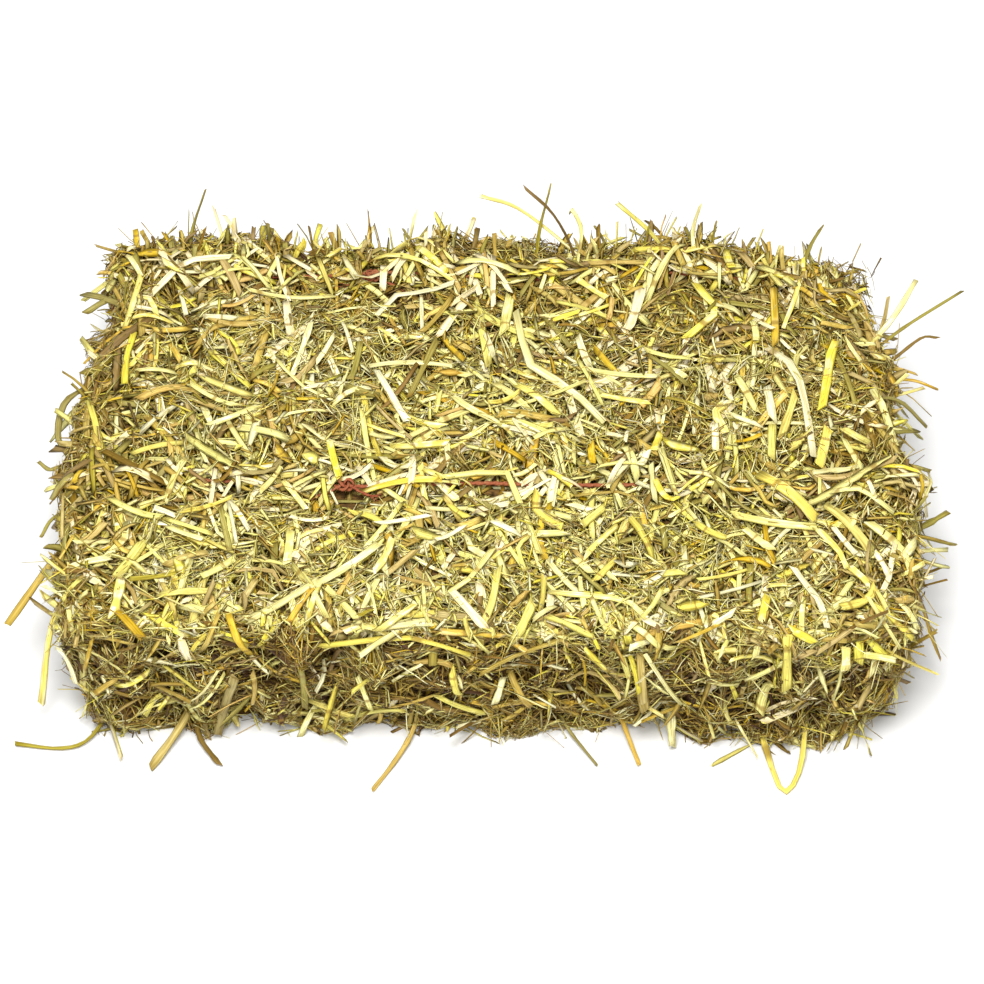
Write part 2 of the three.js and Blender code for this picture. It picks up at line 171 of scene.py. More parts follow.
class Face:
    """One face of the block, with its own across, up and out axes, and the mat of straw on it."""

    # How far the mat goes past the face, and how far inside the face its middle starts
    MARGIN = 46
    MIDDLE_INSET = 6

    def __init__(self, name, centre, across, up, half, rolls, lift):
        self.name = name
        self.family = "top" if name == "top" else "side"
        self.centre = np.array(centre)
        self.across = np.array(across)
        self.up = np.array(up)
        self.out = np.cross(self.across, self.up)
        self.half = half
        self.rolls = rolls
        self.lift = lift
        self.depth = 0.0
        self.columns = int(2 * (half[0] + self.MARGIN))
        self.rows = int(2 * (half[1] + self.MARGIN))
        self.mat = np.zeros(self.columns * self.rows)
        self.ground = self.mat

    def area(self):
        return 4 * self.half[0] * self.half[1]

    def roughen(self, size):
        """Starts the mat with hollows and humps a few centimetres wide."""
        a, b = np.meshgrid(np.arange(self.columns), np.arange(self.rows), indexing="ij")
        ground = np.zeros(a.shape)
        for _ in range(ROUGH_WAVES):
            turn, phase = rng.uniform(0, 2 * math.pi, 2)
            wave = 2 * math.pi / rng.uniform(*ROUGH_LENGTHS)
            ground += np.sin(wave * (a * math.cos(turn) + b * math.sin(turn)) + phase)
        self.ground = (size * ground / math.sqrt(ROUGH_WAVES)).ravel()
        self.mat = self.ground.copy()

    def level(self):
        """Sets how deep the bed lies, from the height that the mat has reached."""
        border = self.MARGIN + self.MIDDLE_INSET
        inner = self.mat.reshape(self.columns, self.rows)[border:-border, border:-border]
        self.depth = float(np.median(inner)) - self.lift

    def cells(self, a, b):
        """The mat's cells, a millimetre square each, under points of the face."""
        column = np.clip((a + self.half[0] + self.MARGIN).astype(np.int32), 0, self.columns - 1)
        row = np.clip((b + self.half[1] + self.MARGIN).astype(np.int32), 0, self.rows - 1)
        return column * self.rows + row

    def place(self, a, b, height, follow=1.0):
        """Points and normals over the block; follow 1 bends over the edges, 0 goes straight on."""
        roll_a, drop_a, turn_a = rolled(a, self.half[0], *self.rolls[0])
        roll_b, drop_b, turn_b = rolled(b, self.half[1], *self.rolls[1])
        go_a = follow * roll_a + (1 - follow) * a
        go_b = follow * roll_b + (1 - follow) * b
        drop = follow * (drop_a + drop_b)
        normal = np.stack([
            np.sin(turn_a * follow),
            np.sin(turn_b * follow),
            np.cos(turn_a * follow) * np.cos(turn_b * follow),
        ], axis=-1)
        normal /= np.linalg.norm(normal, axis=-1, keepdims=True)
        local = np.stack([go_a, go_b, -drop], axis=-1)
        axes = np.stack([self.across, self.up, self.out])
        point = self.centre + local @ axes
        normal = normal @ axes
        if self.name in ("top", "bottom"):
            point[..., 0], point[..., 1] = round_corners(point[..., 0], point[..., 1])
        bulge = 0.0 if self.name == "bottom" else lump(point[..., 0], point[..., 1], point[..., 2])
        point = worn(point + normal * (bulge + height)[..., None])
        return point, normal


BOTTOM_INSET = 8.0
ROUGH_WAVES = 8
ROUGH_LENGTHS = (18, 60)
ROUGHNESS = {"top": 1.1, "side": 4.6}
SHARP_ROLL = (0.0, 0.0)
FOOT_TO_TOP_ROLL = (0.0, EDGE_RADIUS)

# Each face: its name, centre, axes across and up, and half size. Its rolls are the radii at the low and
# high end across and up, and the last number is how far the middle of its mat lies over the block.
FACES = [
    Face(
        "top", (0, 0, HEIGHT), (1, 0, 0), (0, 1, 0), (HALF_LENGTH, HALF_WIDTH),
        ((EDGE_RADIUS, EDGE_RADIUS), (EDGE_RADIUS, EDGE_RADIUS)), 1.0,
    ),
    Face(
        "front", (0, -HALF_WIDTH, HALF_HEIGHT), (1, 0, 0), (0, 0, 1), (HALF_LENGTH, HALF_HEIGHT),
        ((CORNER_RADIUS, WORN_FRONT_RADIUS), FOOT_TO_TOP_ROLL), 0.0,
    ),
    Face(
        "back", (0, HALF_WIDTH, HALF_HEIGHT), (-1, 0, 0), (0, 0, 1), (HALF_LENGTH, HALF_HEIGHT),
        ((WORN_BACK_RADIUS, CORNER_RADIUS), FOOT_TO_TOP_ROLL), 0.0,
    ),
    Face(
        "left", (-HALF_LENGTH, 0, HALF_HEIGHT), (0, -1, 0), (0, 0, 1), (HALF_WIDTH, HALF_HEIGHT),
        ((CORNER_RADIUS, CORNER_RADIUS), FOOT_TO_TOP_ROLL), -1.0,
    ),
    Face(
        "right", (HALF_LENGTH, 0, HALF_HEIGHT), (0, 1, 0), (0, 0, 1), (HALF_WIDTH, HALF_HEIGHT),
        ((WORN_FRONT_RADIUS, WORN_BACK_RADIUS), FOOT_TO_TOP_ROLL), 0.0,
    ),
    Face(
        "bottom", (0, 0, 0), (1, 0, 0), (0, -1, 0),
        (HALF_LENGTH - BOTTOM_INSET, HALF_WIDTH - BOTTOM_INSET), (SHARP_ROLL, SHARP_ROLL), -3.0,
    ),
]


# Straws: their sections, colours and recipes

SKIN_END = 0.55
PITH_START = 0.6


def mirrored_strip(sides):
    """Shares of the colour strip for a section's sides: across the upper ones and back under it."""
    upper = sides - sides // 2
    over = np.linspace(0.0, SKIN_END, upper + 1)
    under = np.linspace(SKIN_END, 0.0, sides - upper + 1)
    return np.concatenate([
        np.stack([over[:-1], over[1:]], axis=1),
        np.stack([under[:-1], under[1:]], axis=1),
    ])


# Sections: each corner's place across (-1 to 1) and out (-1 to 1), round the straw. The strips
# give each side's share of the colour strip, whose far part is the pale pith inside a stalk.
TUBE = np.array([(1, 0), (0.7, 0.8), (-0.7, 0.8), (-1, 0), (-0.7, -0.8), (0.7, -0.8)])
SPLIT = np.array([(1, -0.7), (0.55, 0.55), (-0.55, 0.55), (-1, -0.7), (-0.5, 0.1), (0.5, 0.1)])
SPLIT_STRIP = np.array([(0, 0.14), (0.14, 0.41), (0.41, 0.55), (0.64, 0.72), (0.72, 0.92), (0.92, 1.0)])
LEAF = np.array([(1, 0.35), (0, 0.05), (-1, 0.35), (0, -0.4)])
FIBRE = np.array([(1, -0.5), (0, 1), (-1, -0.5)])

# Rows of the colour atlas that each tone takes
ATLAS_COLUMNS = 8
ATLAS_ROWS = 32
TONES = {
    "pale": (0, 7),
    "yellow": (7, 13),
    "amber": (13, 16),
    "white": (16, 20),
    "tan": (20, 24),
    "olive": (24, 27),
    "brown": (27, 30),
    "dark": (30, 32),
}

# Each kind of straw: section, strip, rings along it, and how its width runs from end to end
KINDS = {
    "stalk": (TUBE, mirrored_strip(6), 4, "even"),
    "split": (SPLIT, SPLIT_STRIP, 4, "even"),
    "leaf": (LEAF, mirrored_strip(4), 6, "taper"),
    "fibre": (FIBRE, mirrored_strip(3), 4, "thin"),
    "chaff": (FIBRE, mirrored_strip(3), 2, "even"),
}
PIECE_OF_KIND = {"stalk": "stalks", "split": "stalks", "leaf": "stalks", "fibre": "fibres", "chaff": "chaff"}

# How many straws of each tone there are, by layer, on the top and on the sides
# The lower layers, the bed and the deep mix are browner and darker, partly as painted shade deep in the mat
TONE_MIXES = {
    "top": {
        "upper": dict(pale=40, yellow=24, amber=8, white=8, tan=14, olive=5, brown=1),
        "lower": dict(pale=30, yellow=18, amber=8, white=3, tan=27, olive=9, brown=5),
        "fine": dict(pale=44, yellow=18, amber=5, white=7, tan=18, olive=6, brown=2),
        "bed": dict(pale=12, yellow=10, amber=10, tan=34, olive=12, brown=22),
        "deep": dict(pale=12, yellow=12, amber=10, tan=34, olive=12, brown=20),
    },
    # The sides' mixes are browner and darker than the top's, partly as painted shade of faces turned from the
    # light
    "side": {
        "upper": dict(pale=32, yellow=22, amber=10, white=7, tan=24, olive=2, brown=3),
        "lower": dict(pale=10, yellow=10, amber=12, tan=34, olive=4, brown=30),
        "fine": dict(pale=24, yellow=10, amber=10, white=5, tan=32, brown=19),
        "bed": dict(amber=6, tan=20, brown=44, dark=30),
        "deep": dict(amber=8, tan=24, brown=44, dark=24),
    },
}
# Share that takes the deep mix, more the earlier a straw is laid: painted shade deep in the mat, heavier on
# the sides
DEEP_PAINTED_SHADE_SHARE = {"top": 0.65, "side": 0.85}

# Broad patches of browner or paler straw, and darker ones on the front that are partly painted shade of its
# hollows: face, place across and up, reach and tones
PATCH_TONES = {
    "brown": dict(pale=10, yellow=12, amber=12, tan=36, olive=10, brown=20),
    "pale": dict(pale=52, yellow=26, white=14, tan=8),
    # Tones of the dark patches, partly painted shade of hollows
    "dark": dict(amber=8, tan=22, brown=44, dark=26),
}
PATCHES = [
    ("top", -150, 104, 44, "brown"),
    ("top", -200, 30, 34, "brown"),
    ("top", -190, -36, 28, "brown"),
    ("top", -95, -12, 26, "brown"),
    ("top", 84, -8, 34, "brown"),
    ("top", 0, -28, 18, "brown"),
    ("top", 205, 40, 40, "brown"),
    ("top", 202, -80, 34, "brown"),
    ("top", 192, -20, 34, "brown"),
    ("top", 70, 112, 48, "brown"),
    ("top", -50, 114, 40, "brown"),
    ("top", 5, 24, 34, "pale"),
    ("top", -140, -92, 34, "pale"),
    ("top", -30, -92, 34, "pale"),
    ("top", 60, -72, 34, "pale"),
    ("top", -110, 60, 30, "pale"),
    ("front", -142, 34, 26, "pale"),
    ("front", 60, 40, 22, "pale"),
    ("front", 150, 36, 24, "pale"),
    # The front's dark patches are partly painted shade, where the face has hollows
    ("front", -178, 8, 26, "dark"),
    ("front", -98, 12, 30, "dark"),
    ("front", -30, 0, 30, "dark"),
    ("front", 25, 5, 30, "dark"),
    ("front", 106, -8, 28, "dark"),
    ("front", 180, 0, 26, "dark"),
]
PATCH_SHARE = 0.62

# The area in square mm and the length in mm for which numbers of straws are given
AREA_UNIT = 1000
LENGTH_UNIT = 100

# Recipes: straws per unit of area, their size, flatness and bend, how many lie side by side,
# when they are laid, and which mix of tones they take
RECIPES = [
    dict(kind="chaff", density=30, length=(4, 13), width=(1.5, 4.0), flat=(0.12, 0.3), bend=0.1,
         group=1, order=(0.0, 0.35), tones="bed"),
    dict(kind="stalk", density=8, length=(16, 60), width=(1.7, 4.9), flat=(0.24, 0.4), bend=0.12,
         group=1, order=(0.0, 0.55), tones="lower"),
    dict(kind="leaf", density=5, length=(14, 50), width=(1.6, 5.5), flat=(0.12, 0.2), bend=0.7,
         group=1, order=(0.1, 0.9), tones="lower"),
    dict(kind="fibre", density=34, length=(9, 34), width=(0.7, 2.0), flat=(0.3, 0.6), bend=0.5,
         group=5, order=(0.2, 0.85), tones="fine"),
    dict(kind="chaff", density=46, length=(5, 17), width=(0.7, 2.4), flat=(0.15, 0.35), bend=0.2,
         group=1, order=(0.35, 1.0), tones="fine"),
    dict(kind="split", density=12, length=(8, 40), width=(1.8, 5.5), flat=(0.2, 0.34), bend=0.14,
         group=1, order=(0.2, 0.9), tones="upper"),
    dict(kind="stalk", density=9, length=(9, 46), width=(1.6, 4.9), flat=(0.24, 0.4), bend=0.18,
         group=1, order=(0.4, 0.95), tones="upper"),
    dict(kind="chaff", density=22, length=(2.5, 7), width=(0.7, 2.2), flat=(0.15, 0.3), bend=0.1,
         group=1, order=(0.5, 1.0), tones="fine"),
    dict(kind="fibre", density=34, length=(6, 26), width=(0.45, 1.1), flat=(0.5, 0.9), bend=1.0,
         group=3, order=(0.6, 1.0), tones="fine"),
]
COVER_RECIPE = dict(kind="split", density=4.2, length=(10, 34), width=(1.8, 4.2), flat=(0.18, 0.3), bend=0.15,
                    group=1, order=(1.0, 1.05), tones="upper")
WISP_RECIPE = dict(kind="fibre", density=7, length=(7, 26), width=(0.45, 1.2), flat=(0.5, 0.9), bend=1.0,
                   group=2, order=(1.2, 1.3), tones="fine")
COVER_SPREAD = 3.0
COVER_GIVE = 0.95
FACE_DENSITY = {"top": 1.0, "front": 1.0, "back": 0.7, "left": 0.8, "right": 0.85, "bottom": 0.1}
KIND_DENSITY = {
    "top": dict(stalk=1.0, split=1.0, leaf=1.0, fibre=1.0, chaff=1.0),
    "side": dict(stalk=0.42, split=0.3, leaf=0.5, fibre=1.75, chaff=0.8),
}
WIDTH_SHARE = {"top": 1.0, "side": 0.82}
FACE_OVERHANG = 3
THICKNESS = (0.3, 1.7)
SHORT_SKEW = (1.3, 2.2)
KINK_SHARE = 0.14
KINK_TURNS = (0.3, 1.3)
KINK_PLACES = (0.25, 0.75)
ROLL_SPREAD = 0.22
PITH_UP_SHARE = {"top": 0.26, "side": 0.14}
GROUP_SPREAD = 3.0
GROUP_TURN = 0.22
GROUP_BEND = 0.3
GROUP_DELAY = 0.03

# How closely straws bend over the block's edges: mean, spread, lowest and highest
FOLLOW = (0.75, 0.22)
FOLLOW_LIMITS = (0.1, 1.0)

# The browner rim of the top, partly painted shade where the light falls off: its share, and where it starts
# and is full, towards the back and the ends
BROWN_AND_SHADED_RIM = 0.95
BACK_RIM = (30, 85)
END_RIM = (155, 205)

# Laying: how far a straw may sink into the highest points under it, and the share of its thickness
# by which it raises the mat
LAID_GIVE = 0.72
RAISE_SHARE = 0.85

PATH_POINTS = 9
DENSE_POINTS = 25
ACROSS_READ = np.array([-0.32, 0.0, 0.32])
ACROSS_WRITE = np.array([-0.42, -0.21, 0.0, 0.21, 0.42])

# Stretches of the twine and knots that show through the straw: low and high x, low and high y
TWINE_WINDOWS = [(-4, 16, -39.5, -36.5), (39, 57, -39.5, -36.5), (-76, -66, -46, -36), (-67, -59, 95, 106)]
WINDOW_ORDER = 0.12
MAT_STEP = 0.5


def quadratic_basis(count):
    along = np.linspace(-1, 1, count)
    return np.stack([np.ones(count), along, along ** 2], axis=1)


BASIS = quadratic_basis(PATH_POINTS)
DENSE_BASIS = quadratic_basis(DENSE_POINTS)
FIT = np.linalg.pinv(BASIS)


class Straws:
    """Columns of numbers, one row a straw."""

    FIELDS = ("kind", "path", "width", "thick", "order", "follow", "strip", "flip", "roll")

    def __init__(self, **columns):
        for field in self.FIELDS:
            setattr(self, field, columns[field])

    @classmethod
    def join(cls, groups):
        return cls(**{field: np.concatenate([getattr(g, field) for g in groups]) for field in cls.FIELDS})

    def only(self, chosen):
        return Straws(**{field: getattr(self, field)[chosen] for field in self.FIELDS})

    def __len__(self):
        return len(self.width)


def skewed(limits, count):
    """Lengths between two limits, more of them short than long."""
    low, high = limits
    return low + (high - low) * rng.beta(*SHORT_SKEW, count)


def draw_strips(tones, count):
    """Draws places in the colour atlas for a mix of tones."""
    names = list(tones)
    weights = np.array([tones[name] for name in names], dtype=float)
    picks = rng.choice(len(names), size=count, p=weights / weights.sum())
    low, high = np.array([TONES[name] for name in names])[picks].T
    rows = low + np.floor((high - low) * rng.random(count))
    return np.stack([rng.integers(0, ATLAS_COLUMNS, count), rows], axis=1)


def bent_paths(a, b, angle, length, bend, kink, kink_at):
    """Paths in a face's plane that curve evenly, and turn sharply at a kink."""
    along = np.linspace(0, 1, PATH_POINTS)
    middle = (along[1:] + along[:-1]) / 2
    heading = angle[:, None] + bend[:, None] * (middle - 0.5) + kink[:, None] * (middle > kink_at[:, None])
    step = length[:, None] / (PATH_POINTS - 1)
    run_a = np.cumsum(np.cos(heading) * step, axis=1)
    run_b = np.cumsum(np.sin(heading) * step, axis=1)
    start = np.zeros((len(a), 1))
    path = np.stack([np.hstack([start, run_a]), np.hstack([start, run_b])], axis=-1)
    path -= path.mean(axis=1, keepdims=True)
    path[..., 0] += a[:, None]
    path[..., 1] += b[:, None]
    return path


def in_windows(path):
    """Which paths cross a window over the twine."""
    crossing = np.zeros(len(path), dtype=bool)
    for low_x, high_x, low_y, high_y in TWINE_WINDOWS:
        across = (path[..., 0] > low_x) & (path[..., 0] < high_x)
        crossing |= (across & (path[..., 1] > low_y) & (path[..., 1] < high_y)).any(axis=1)
    return crossing


def rim_brown_and_shade_share(face, a, b):
    """The share of straws that take the brown patches' tones, partly as painted shade: more at the back and
    ends of the top.
    """
    if face.name != "top":
        return np.zeros(len(a))
    to_back = np.interp(b, BACK_RIM, (0, 1))
    to_end = np.interp(np.abs(a), END_RIM, (0, 1))
    return BROWN_AND_SHADED_RIM * np.maximum(to_back, to_end)


def tone_straws(face, recipe, a, b, order):
    """Draws colours for straws: darker deep in the mat, partly as painted shade, browner at the rim, partly
    as painted shade where the light falls off, and uneven by patches, the front's dark ones partly painted
    shade.
    """
    count = len(a)
    mixes = TONE_MIXES[face.family]
    changes = [
        (mixes["deep"], DEEP_PAINTED_SHADE_SHARE[face.family] * (1 - order)),
        (PATCH_TONES["brown"], rim_brown_and_shade_share(face, a, b)),
    ]
    for name, patch_a, patch_b, reach, tone in PATCHES:
        if name == face.name:
            away = np.hypot(a - patch_a, b - patch_b) / reach
            changes.append((PATCH_TONES[tone], PATCH_SHARE * np.exp(-(away ** 2))))
    strip = draw_strips(mixes[recipe["tones"]], count)
    for tones, share in changes:
        strip = np.where((rng.random(count) < share)[:, None], draw_strips(tones, count), strip)
    return strip


def scatter(face, recipe):
    """Draws the straws of one recipe over a face."""
    density = recipe["density"] * FACE_DENSITY[face.name] * KIND_DENSITY[face.family][recipe["kind"]]
    groups = int(density * face.area() / AREA_UNIT / recipe["group"])
    count = groups * recipe["group"]
    member = np.repeat(np.arange(groups), recipe["group"])
    spread = GROUP_SPREAD if recipe["group"] > 1 else 0.0
    a = (rng.uniform(-1, 1, groups) * (face.half[0] + FACE_OVERHANG))[member] + rng.normal(0, spread, count)
    b = (rng.uniform(-1, 1, groups) * (face.half[1] + FACE_OVERHANG))[member] + rng.normal(0, spread, count)
    length = skewed(recipe["length"], count)
    width = skewed(recipe["width"], count) * WIDTH_SHARE[face.family]
    thick = np.clip(width * rng.uniform(*recipe["flat"], count), *THICKNESS)
    angle = rng.uniform(0, 2 * math.pi, groups)[member] + rng.normal(0, GROUP_TURN, count)
    bend = rng.normal(0, recipe["bend"], groups)[member] + rng.normal(0, GROUP_BEND * recipe["bend"], count)
    kinked = rng.random(count) < KINK_SHARE
    kink = np.where(kinked, rng.uniform(*KINK_TURNS, count) * rng.choice([-1, 1], count), 0.0)
    order = rng.uniform(*recipe["order"], groups)[member] + rng.uniform(0, GROUP_DELAY, count)
    straws = Straws(
        kind=np.full(count, recipe["kind"]),
        path=bent_paths(a, b, angle, length, bend, kink, rng.uniform(*KINK_PLACES, count)),
        width=width,
        thick=thick,
        order=order,
        follow=np.clip(rng.normal(*FOLLOW, count), *FOLLOW_LIMITS),
        strip=tone_straws(face, recipe, a, b, order),
        flip=np.where(rng.random(count) < PITH_UP_SHARE[face.family], -1.0, 1.0),
        roll=rng.normal(0, ROLL_SPREAD, count),
    )
    if face.name == "top":
        straws = straws.only(~in_windows(straws.path) | (order < WINDOW_ORDER))
    return straws


def twine_covers(face):
    """Straws that hide the twine where it does not show."""
    covers = scatter(face, COVER_RECIPE)
    lines = np.where(rng.random(len(covers)) < 0.5, FRONT_TWINE_Y, BACK_TWINE_Y)
    shift = lines + rng.normal(0, COVER_SPREAD, len(covers)) - covers.path[..., 1].mean(axis=1)
    covers.path[..., 1] += shift[:, None]
    return covers.only(~in_windows(covers.path))


def lay_twine(face):
    """Raises the mat to the twine, so that what is laid later rests on it."""
    a = np.arange(-HALF_LENGTH, HALF_LENGTH, MAT_STEP)
    for y in (FRONT_TWINE_Y, BACK_TWINE_Y):
        for across in (-1, 0, 1):
            cells = face.cells(a, np.full(len(a), y + across))
            face.mat[cells] = np.maximum(face.mat[cells], face.depth + TWINE_RADIUS - TWINE_SINK)


def settle(face, straws, give=LAID_GIVE):
    """Lays straws on the face's mat in their order. Each rests on what is under it and raises the mat."""
    count = len(straws)
    path = straws.path
    ahead = np.gradient(path, axis=1)
    ahead /= np.maximum(np.linalg.norm(ahead, axis=-1, keepdims=True), TINY)
    side = np.stack([-ahead[..., 1], ahead[..., 0]], axis=-1)
    reach = straws.width[:, None, None]
    read_a = path[..., 0, None] + side[..., 0, None] * ACROSS_READ * reach
    read_b = path[..., 1, None] + side[..., 1, None] * ACROSS_READ * reach
    read = face.cells(read_a, read_b)
    dense = resample(path, DENSE_POINTS)
    dense_side = resample(side, DENSE_POINTS)
    write_a = dense[..., 0, None] + dense_side[..., 0, None] * ACROSS_WRITE * reach
    write_b = dense[..., 1, None] + dense_side[..., 1, None] * ACROSS_WRITE * reach
    write = face.cells(write_a, write_b)
    rank = int(give * (PATH_POINTS - 1))
    heights = np.zeros((count, PATH_POINTS))
    mat = face.mat
    for index in np.argsort(straws.order):
        under = mat[read[index]].max(axis=1)
        shape = FIT @ under
        line = BASIS @ shape
        lift = np.partition(under - line, rank)[rank]
        heights[index] = line + lift + straws.thick[index] / 2
        top = DENSE_BASIS @ shape + lift + RAISE_SHARE * straws.thick[index]
        cells = write[index]
        mat[cells] = np.maximum(mat[cells], top[:, None])
    return heights


# Meshes from arrays

# Parts of a colour strip left free at its ends and sides, and the spot of it on a straw's cut ends
STRIP_END = 0.03
STRIP_SIDE = 0.05
END_SPOT = (0.012, 0.05)
END_SPOT_AT = 0.3

# A leaf is widest in its middle and a fibre thins to its tip
LEAF_NARROWEST = 0.4
LEAF_ROOT = 0.12
LEAF_SPAN = 0.8
LEAF_FULLNESS = 0.7
FIBRE_THINNING = 0.55

# How uneven straws are: along their width, and at their ends as shares of the width and a limit in mm
WIDTH_WOBBLE = 0.09
FRAY = 0.22
SLANT = 0.5
RAGGED_LIMIT = 2.5
LEAF_TWIST = 1.6


class MeshParts:
    """Collects straws as arrays of points, sides and ends, and makes one mesh of them."""

    def __init__(self):
        self.points = []
        self.sides = []
        self.side_uvs = []
        self.ends = []
        self.count = 0

    def add(self, rings, strip, shares, closed=False):
        """Adds straws whose rings of corners are an array of straws, rings, corners and xyz."""
        straws, along, around, _ = rings.shape
        base = self.count + np.arange(straws)[:, None, None] * along * around
        spans = along if closed else along - 1
        ring = np.arange(spans)[None, :, None] * around
        next_ring = (np.arange(spans)[None, :, None] + 1) % along * around
        corner = np.arange(around)[None, None, :]
        following = (corner + 1) % around
        sides = np.stack([
            base + ring + corner,
            base + next_ring + corner,
            base + next_ring + following,
            base + ring + following,
        ], axis=-1)
        self.points.append(rings.reshape(-1, 3))
        self.sides.append(sides.reshape(-1, 4))
        u = (strip[:, 0, None] + np.linspace(STRIP_END, 1 - STRIP_END, spans + 1)[None, :]) / ATLAS_COLUMNS
        inside = STRIP_SIDE + (1 - 2 * STRIP_SIDE) * shares[None, :, :]
        v = (strip[:, 1, None, None] + inside) / ATLAS_ROWS
        shape = (straws, spans, around)
        near = np.broadcast_to(u[:, :-1, None], shape)
        far = np.broadcast_to(u[:, 1:, None], shape)
        this = np.broadcast_to(v[:, None, :, 0], shape)
        other = np.broadcast_to(v[:, None, :, 1], shape)
        uvs = np.stack([
            np.stack([near, this], axis=-1),
            np.stack([far, this], axis=-1),
            np.stack([far, other], axis=-1),
            np.stack([near, other], axis=-1),
        ], axis=-2)
        self.side_uvs.append(uvs.reshape(-1, 2))
        if not closed:
            self.add_ends(base, along, around, strip, u)
        self.count += straws * along * around

    def add_ends(self, base, along, around, strip, u):
        """Closes the two ends of straws, with a spot of their strip's colour."""
        turn = np.arange(around) * 2 * math.pi / around
        spot = np.stack([np.cos(turn), np.sin(turn)], axis=-1) * END_SPOT
        scale = np.array([1 / ATLAS_COLUMNS, 1 / ATLAS_ROWS])
        first = np.arange(around)
        for start, corners, end_u in ((0, first, u[:, 0]), ((along - 1) * around, first[::-1], u[:, -1])):
            faces = base[:, 0, :] + start + corners[None, :]
            middle = np.stack([end_u, (strip[:, 1] + END_SPOT_AT) / ATLAS_ROWS], axis=-1)
            self.ends.append((faces, middle[:, None, :] + spot[None, corners, :] * scale))

    def make(self, name, material, atlas=True):
        points = np.concatenate(self.points)
        points[:, 2] = off_floor(points[:, 2])
        sides = np.concatenate(self.sides)
        loops = [sides.reshape(-1)]
        totals = [np.full(len(sides), 4)]
        uvs = list(self.side_uvs)
        smooth = [np.ones(len(sides), dtype=bool)]
        for faces, uv in self.ends:
            loops.append(faces.reshape(-1))
            totals.append(np.full(len(faces), faces.shape[1]))
            uvs.append(uv.reshape(-1, 2))
            smooth.append(np.zeros(len(faces), dtype=bool))
        loops = np.concatenate(loops)
        totals = np.concatenate(totals)
        starts = np.concatenate([[0], np.cumsum(totals)[:-1]])
        mesh = bpy.data.meshes.new(name)
        mesh.vertices.add(len(points))
        mesh.vertices.foreach_set("co", (points * MM).astype(np.float32).ravel())
        mesh.loops.add(len(loops))
        mesh.loops.foreach_set("vertex_index", loops.astype(np.int32))
        mesh.polygons.add(len(totals))
        mesh.polygons.foreach_set("loop_start", starts.astype(np.int32))
        mesh.polygons.foreach_set("loop_total", totals.astype(np.int32))
        mesh.polygons.foreach_set("use_smooth", np.concatenate(smooth))
        if atlas:
            layer = mesh.uv_layers.new(name="OFBake")
            layer.data.foreach_set("uv", np.concatenate(uvs).astype(np.float32).ravel())
        mesh.update(calc_edges=True)
        mesh.validate()
        mesh.materials.append(material)
        piece = bpy.data.objects.new(name, mesh)
        bpy.context.collection.objects.link(piece)
        return piece


def unit(vectors):
    return vectors / np.maximum(np.linalg.norm(vectors, axis=-1, keepdims=True), TINY)


def resample(values, count):
    """Values along straws, from one number of points to another."""
    place = np.linspace(0, values.shape[1] - 1, count)
    low = np.minimum(place.astype(int), values.shape[1] - 2)
    part = (place - low).reshape(1, -1, *([1] * (values.ndim - 2)))
    return values[:, low] * (1 - part) + values[:, low + 1] * part


def width_run(run, rings):
    """How a straw's width runs from its root to its tip, as a share."""
    along = np.linspace(0, 1, rings)
    if run == "taper":
        swell = np.sin(math.pi * (LEAF_ROOT + LEAF_SPAN * along)) ** LEAF_FULLNESS
        return LEAF_NARROWEST + (1 - LEAF_NARROWEST) * swell
    if run == "thin":
        return 1.0 - FIBRE_THINNING * along
    return np.ones(rings)


def sweep(points, normals, width, thick, section, run, flip, roll):
    """Rings of a section's corners along each straw's points, with ragged ends."""
    rings = points.shape[1]
    ahead = unit(np.gradient(points, axis=1))
    side = unit(np.cross(ahead, normals))
    out = np.cross(side, ahead)
    turn_cos = np.cos(roll)[..., None]
    turn_sin = np.sin(roll)[..., None]
    side, out = side * turn_cos + out * turn_sin, out * turn_cos - side * turn_sin
    share = width_run(run, rings)[None, :] * (1 + rng.normal(0, WIDTH_WOBBLE, (len(points), rings)))
    half = (width[:, None] * 0.5 * share)[:, :, None, None]
    deep = (thick[:, None] * (0.5 + 0.5 * share))[:, :, None, None] * 0.5
    turned = flip[:, None, None, None]
    across = section[None, None, :, 0, None] * turned
    outward = section[None, None, :, 1, None] * turned
    corners = points[:, :, None, :] + side[:, :, None, :] * across * half
    corners = corners + out[:, :, None, :] * outward * deep
    fray = rng.normal(0, FRAY, (len(points), 2, len(section))) * width[:, None, None]
    slant = rng.normal(0, SLANT, (len(points), 2, 1)) * width[:, None, None] * section[None, None, :, 0]
    for end, place in ((0, 0), (1, rings - 1)):
        shift = np.clip(fray[:, end] + slant[:, end], -RAGGED_LIMIT, RAGGED_LIMIT)
        corners[:, place] += ahead[:, place, None, :] * shift[..., None]
    return corners


def add_straws(parts, straws, points, normals, ring_count=None):
    """Adds straws with their points and normals along them to the pieces of their kinds."""
    for kind, (section, shares, rings, run) in KINDS.items():
        chosen = np.flatnonzero(straws.kind == kind)
        if len(chosen) == 0:
            continue
        group = straws.only(chosen)
        rings = ring_count or rings
        roll = np.repeat(group.roll[:, None], rings, axis=1)
        if run == "taper":
            roll = roll + np.linspace(-0.5, 0.5, rings)[None, :] * rng.normal(0, LEAF_TWIST, (len(chosen), 1))
        corners = sweep(
            resample(points[chosen], rings), resample(normals[chosen], rings),
            group.width, group.thick, section, run, group.flip, roll,
        )
        parts[PIECE_OF_KIND[kind]].add(corners, group.strip, shares)


def add_laid(parts, face, straws, heights, ring_count=None):
    """Adds straws that lie on a face at their heights over the mat's bed."""
    follow = np.repeat(straws.follow[:, None], PATH_POINTS, axis=1)
    points, normals = face.place(straws.path[..., 0], straws.path[..., 1], heights - face.depth, follow)
    add_straws(parts, straws, points, normals, ring_count)


# Materials

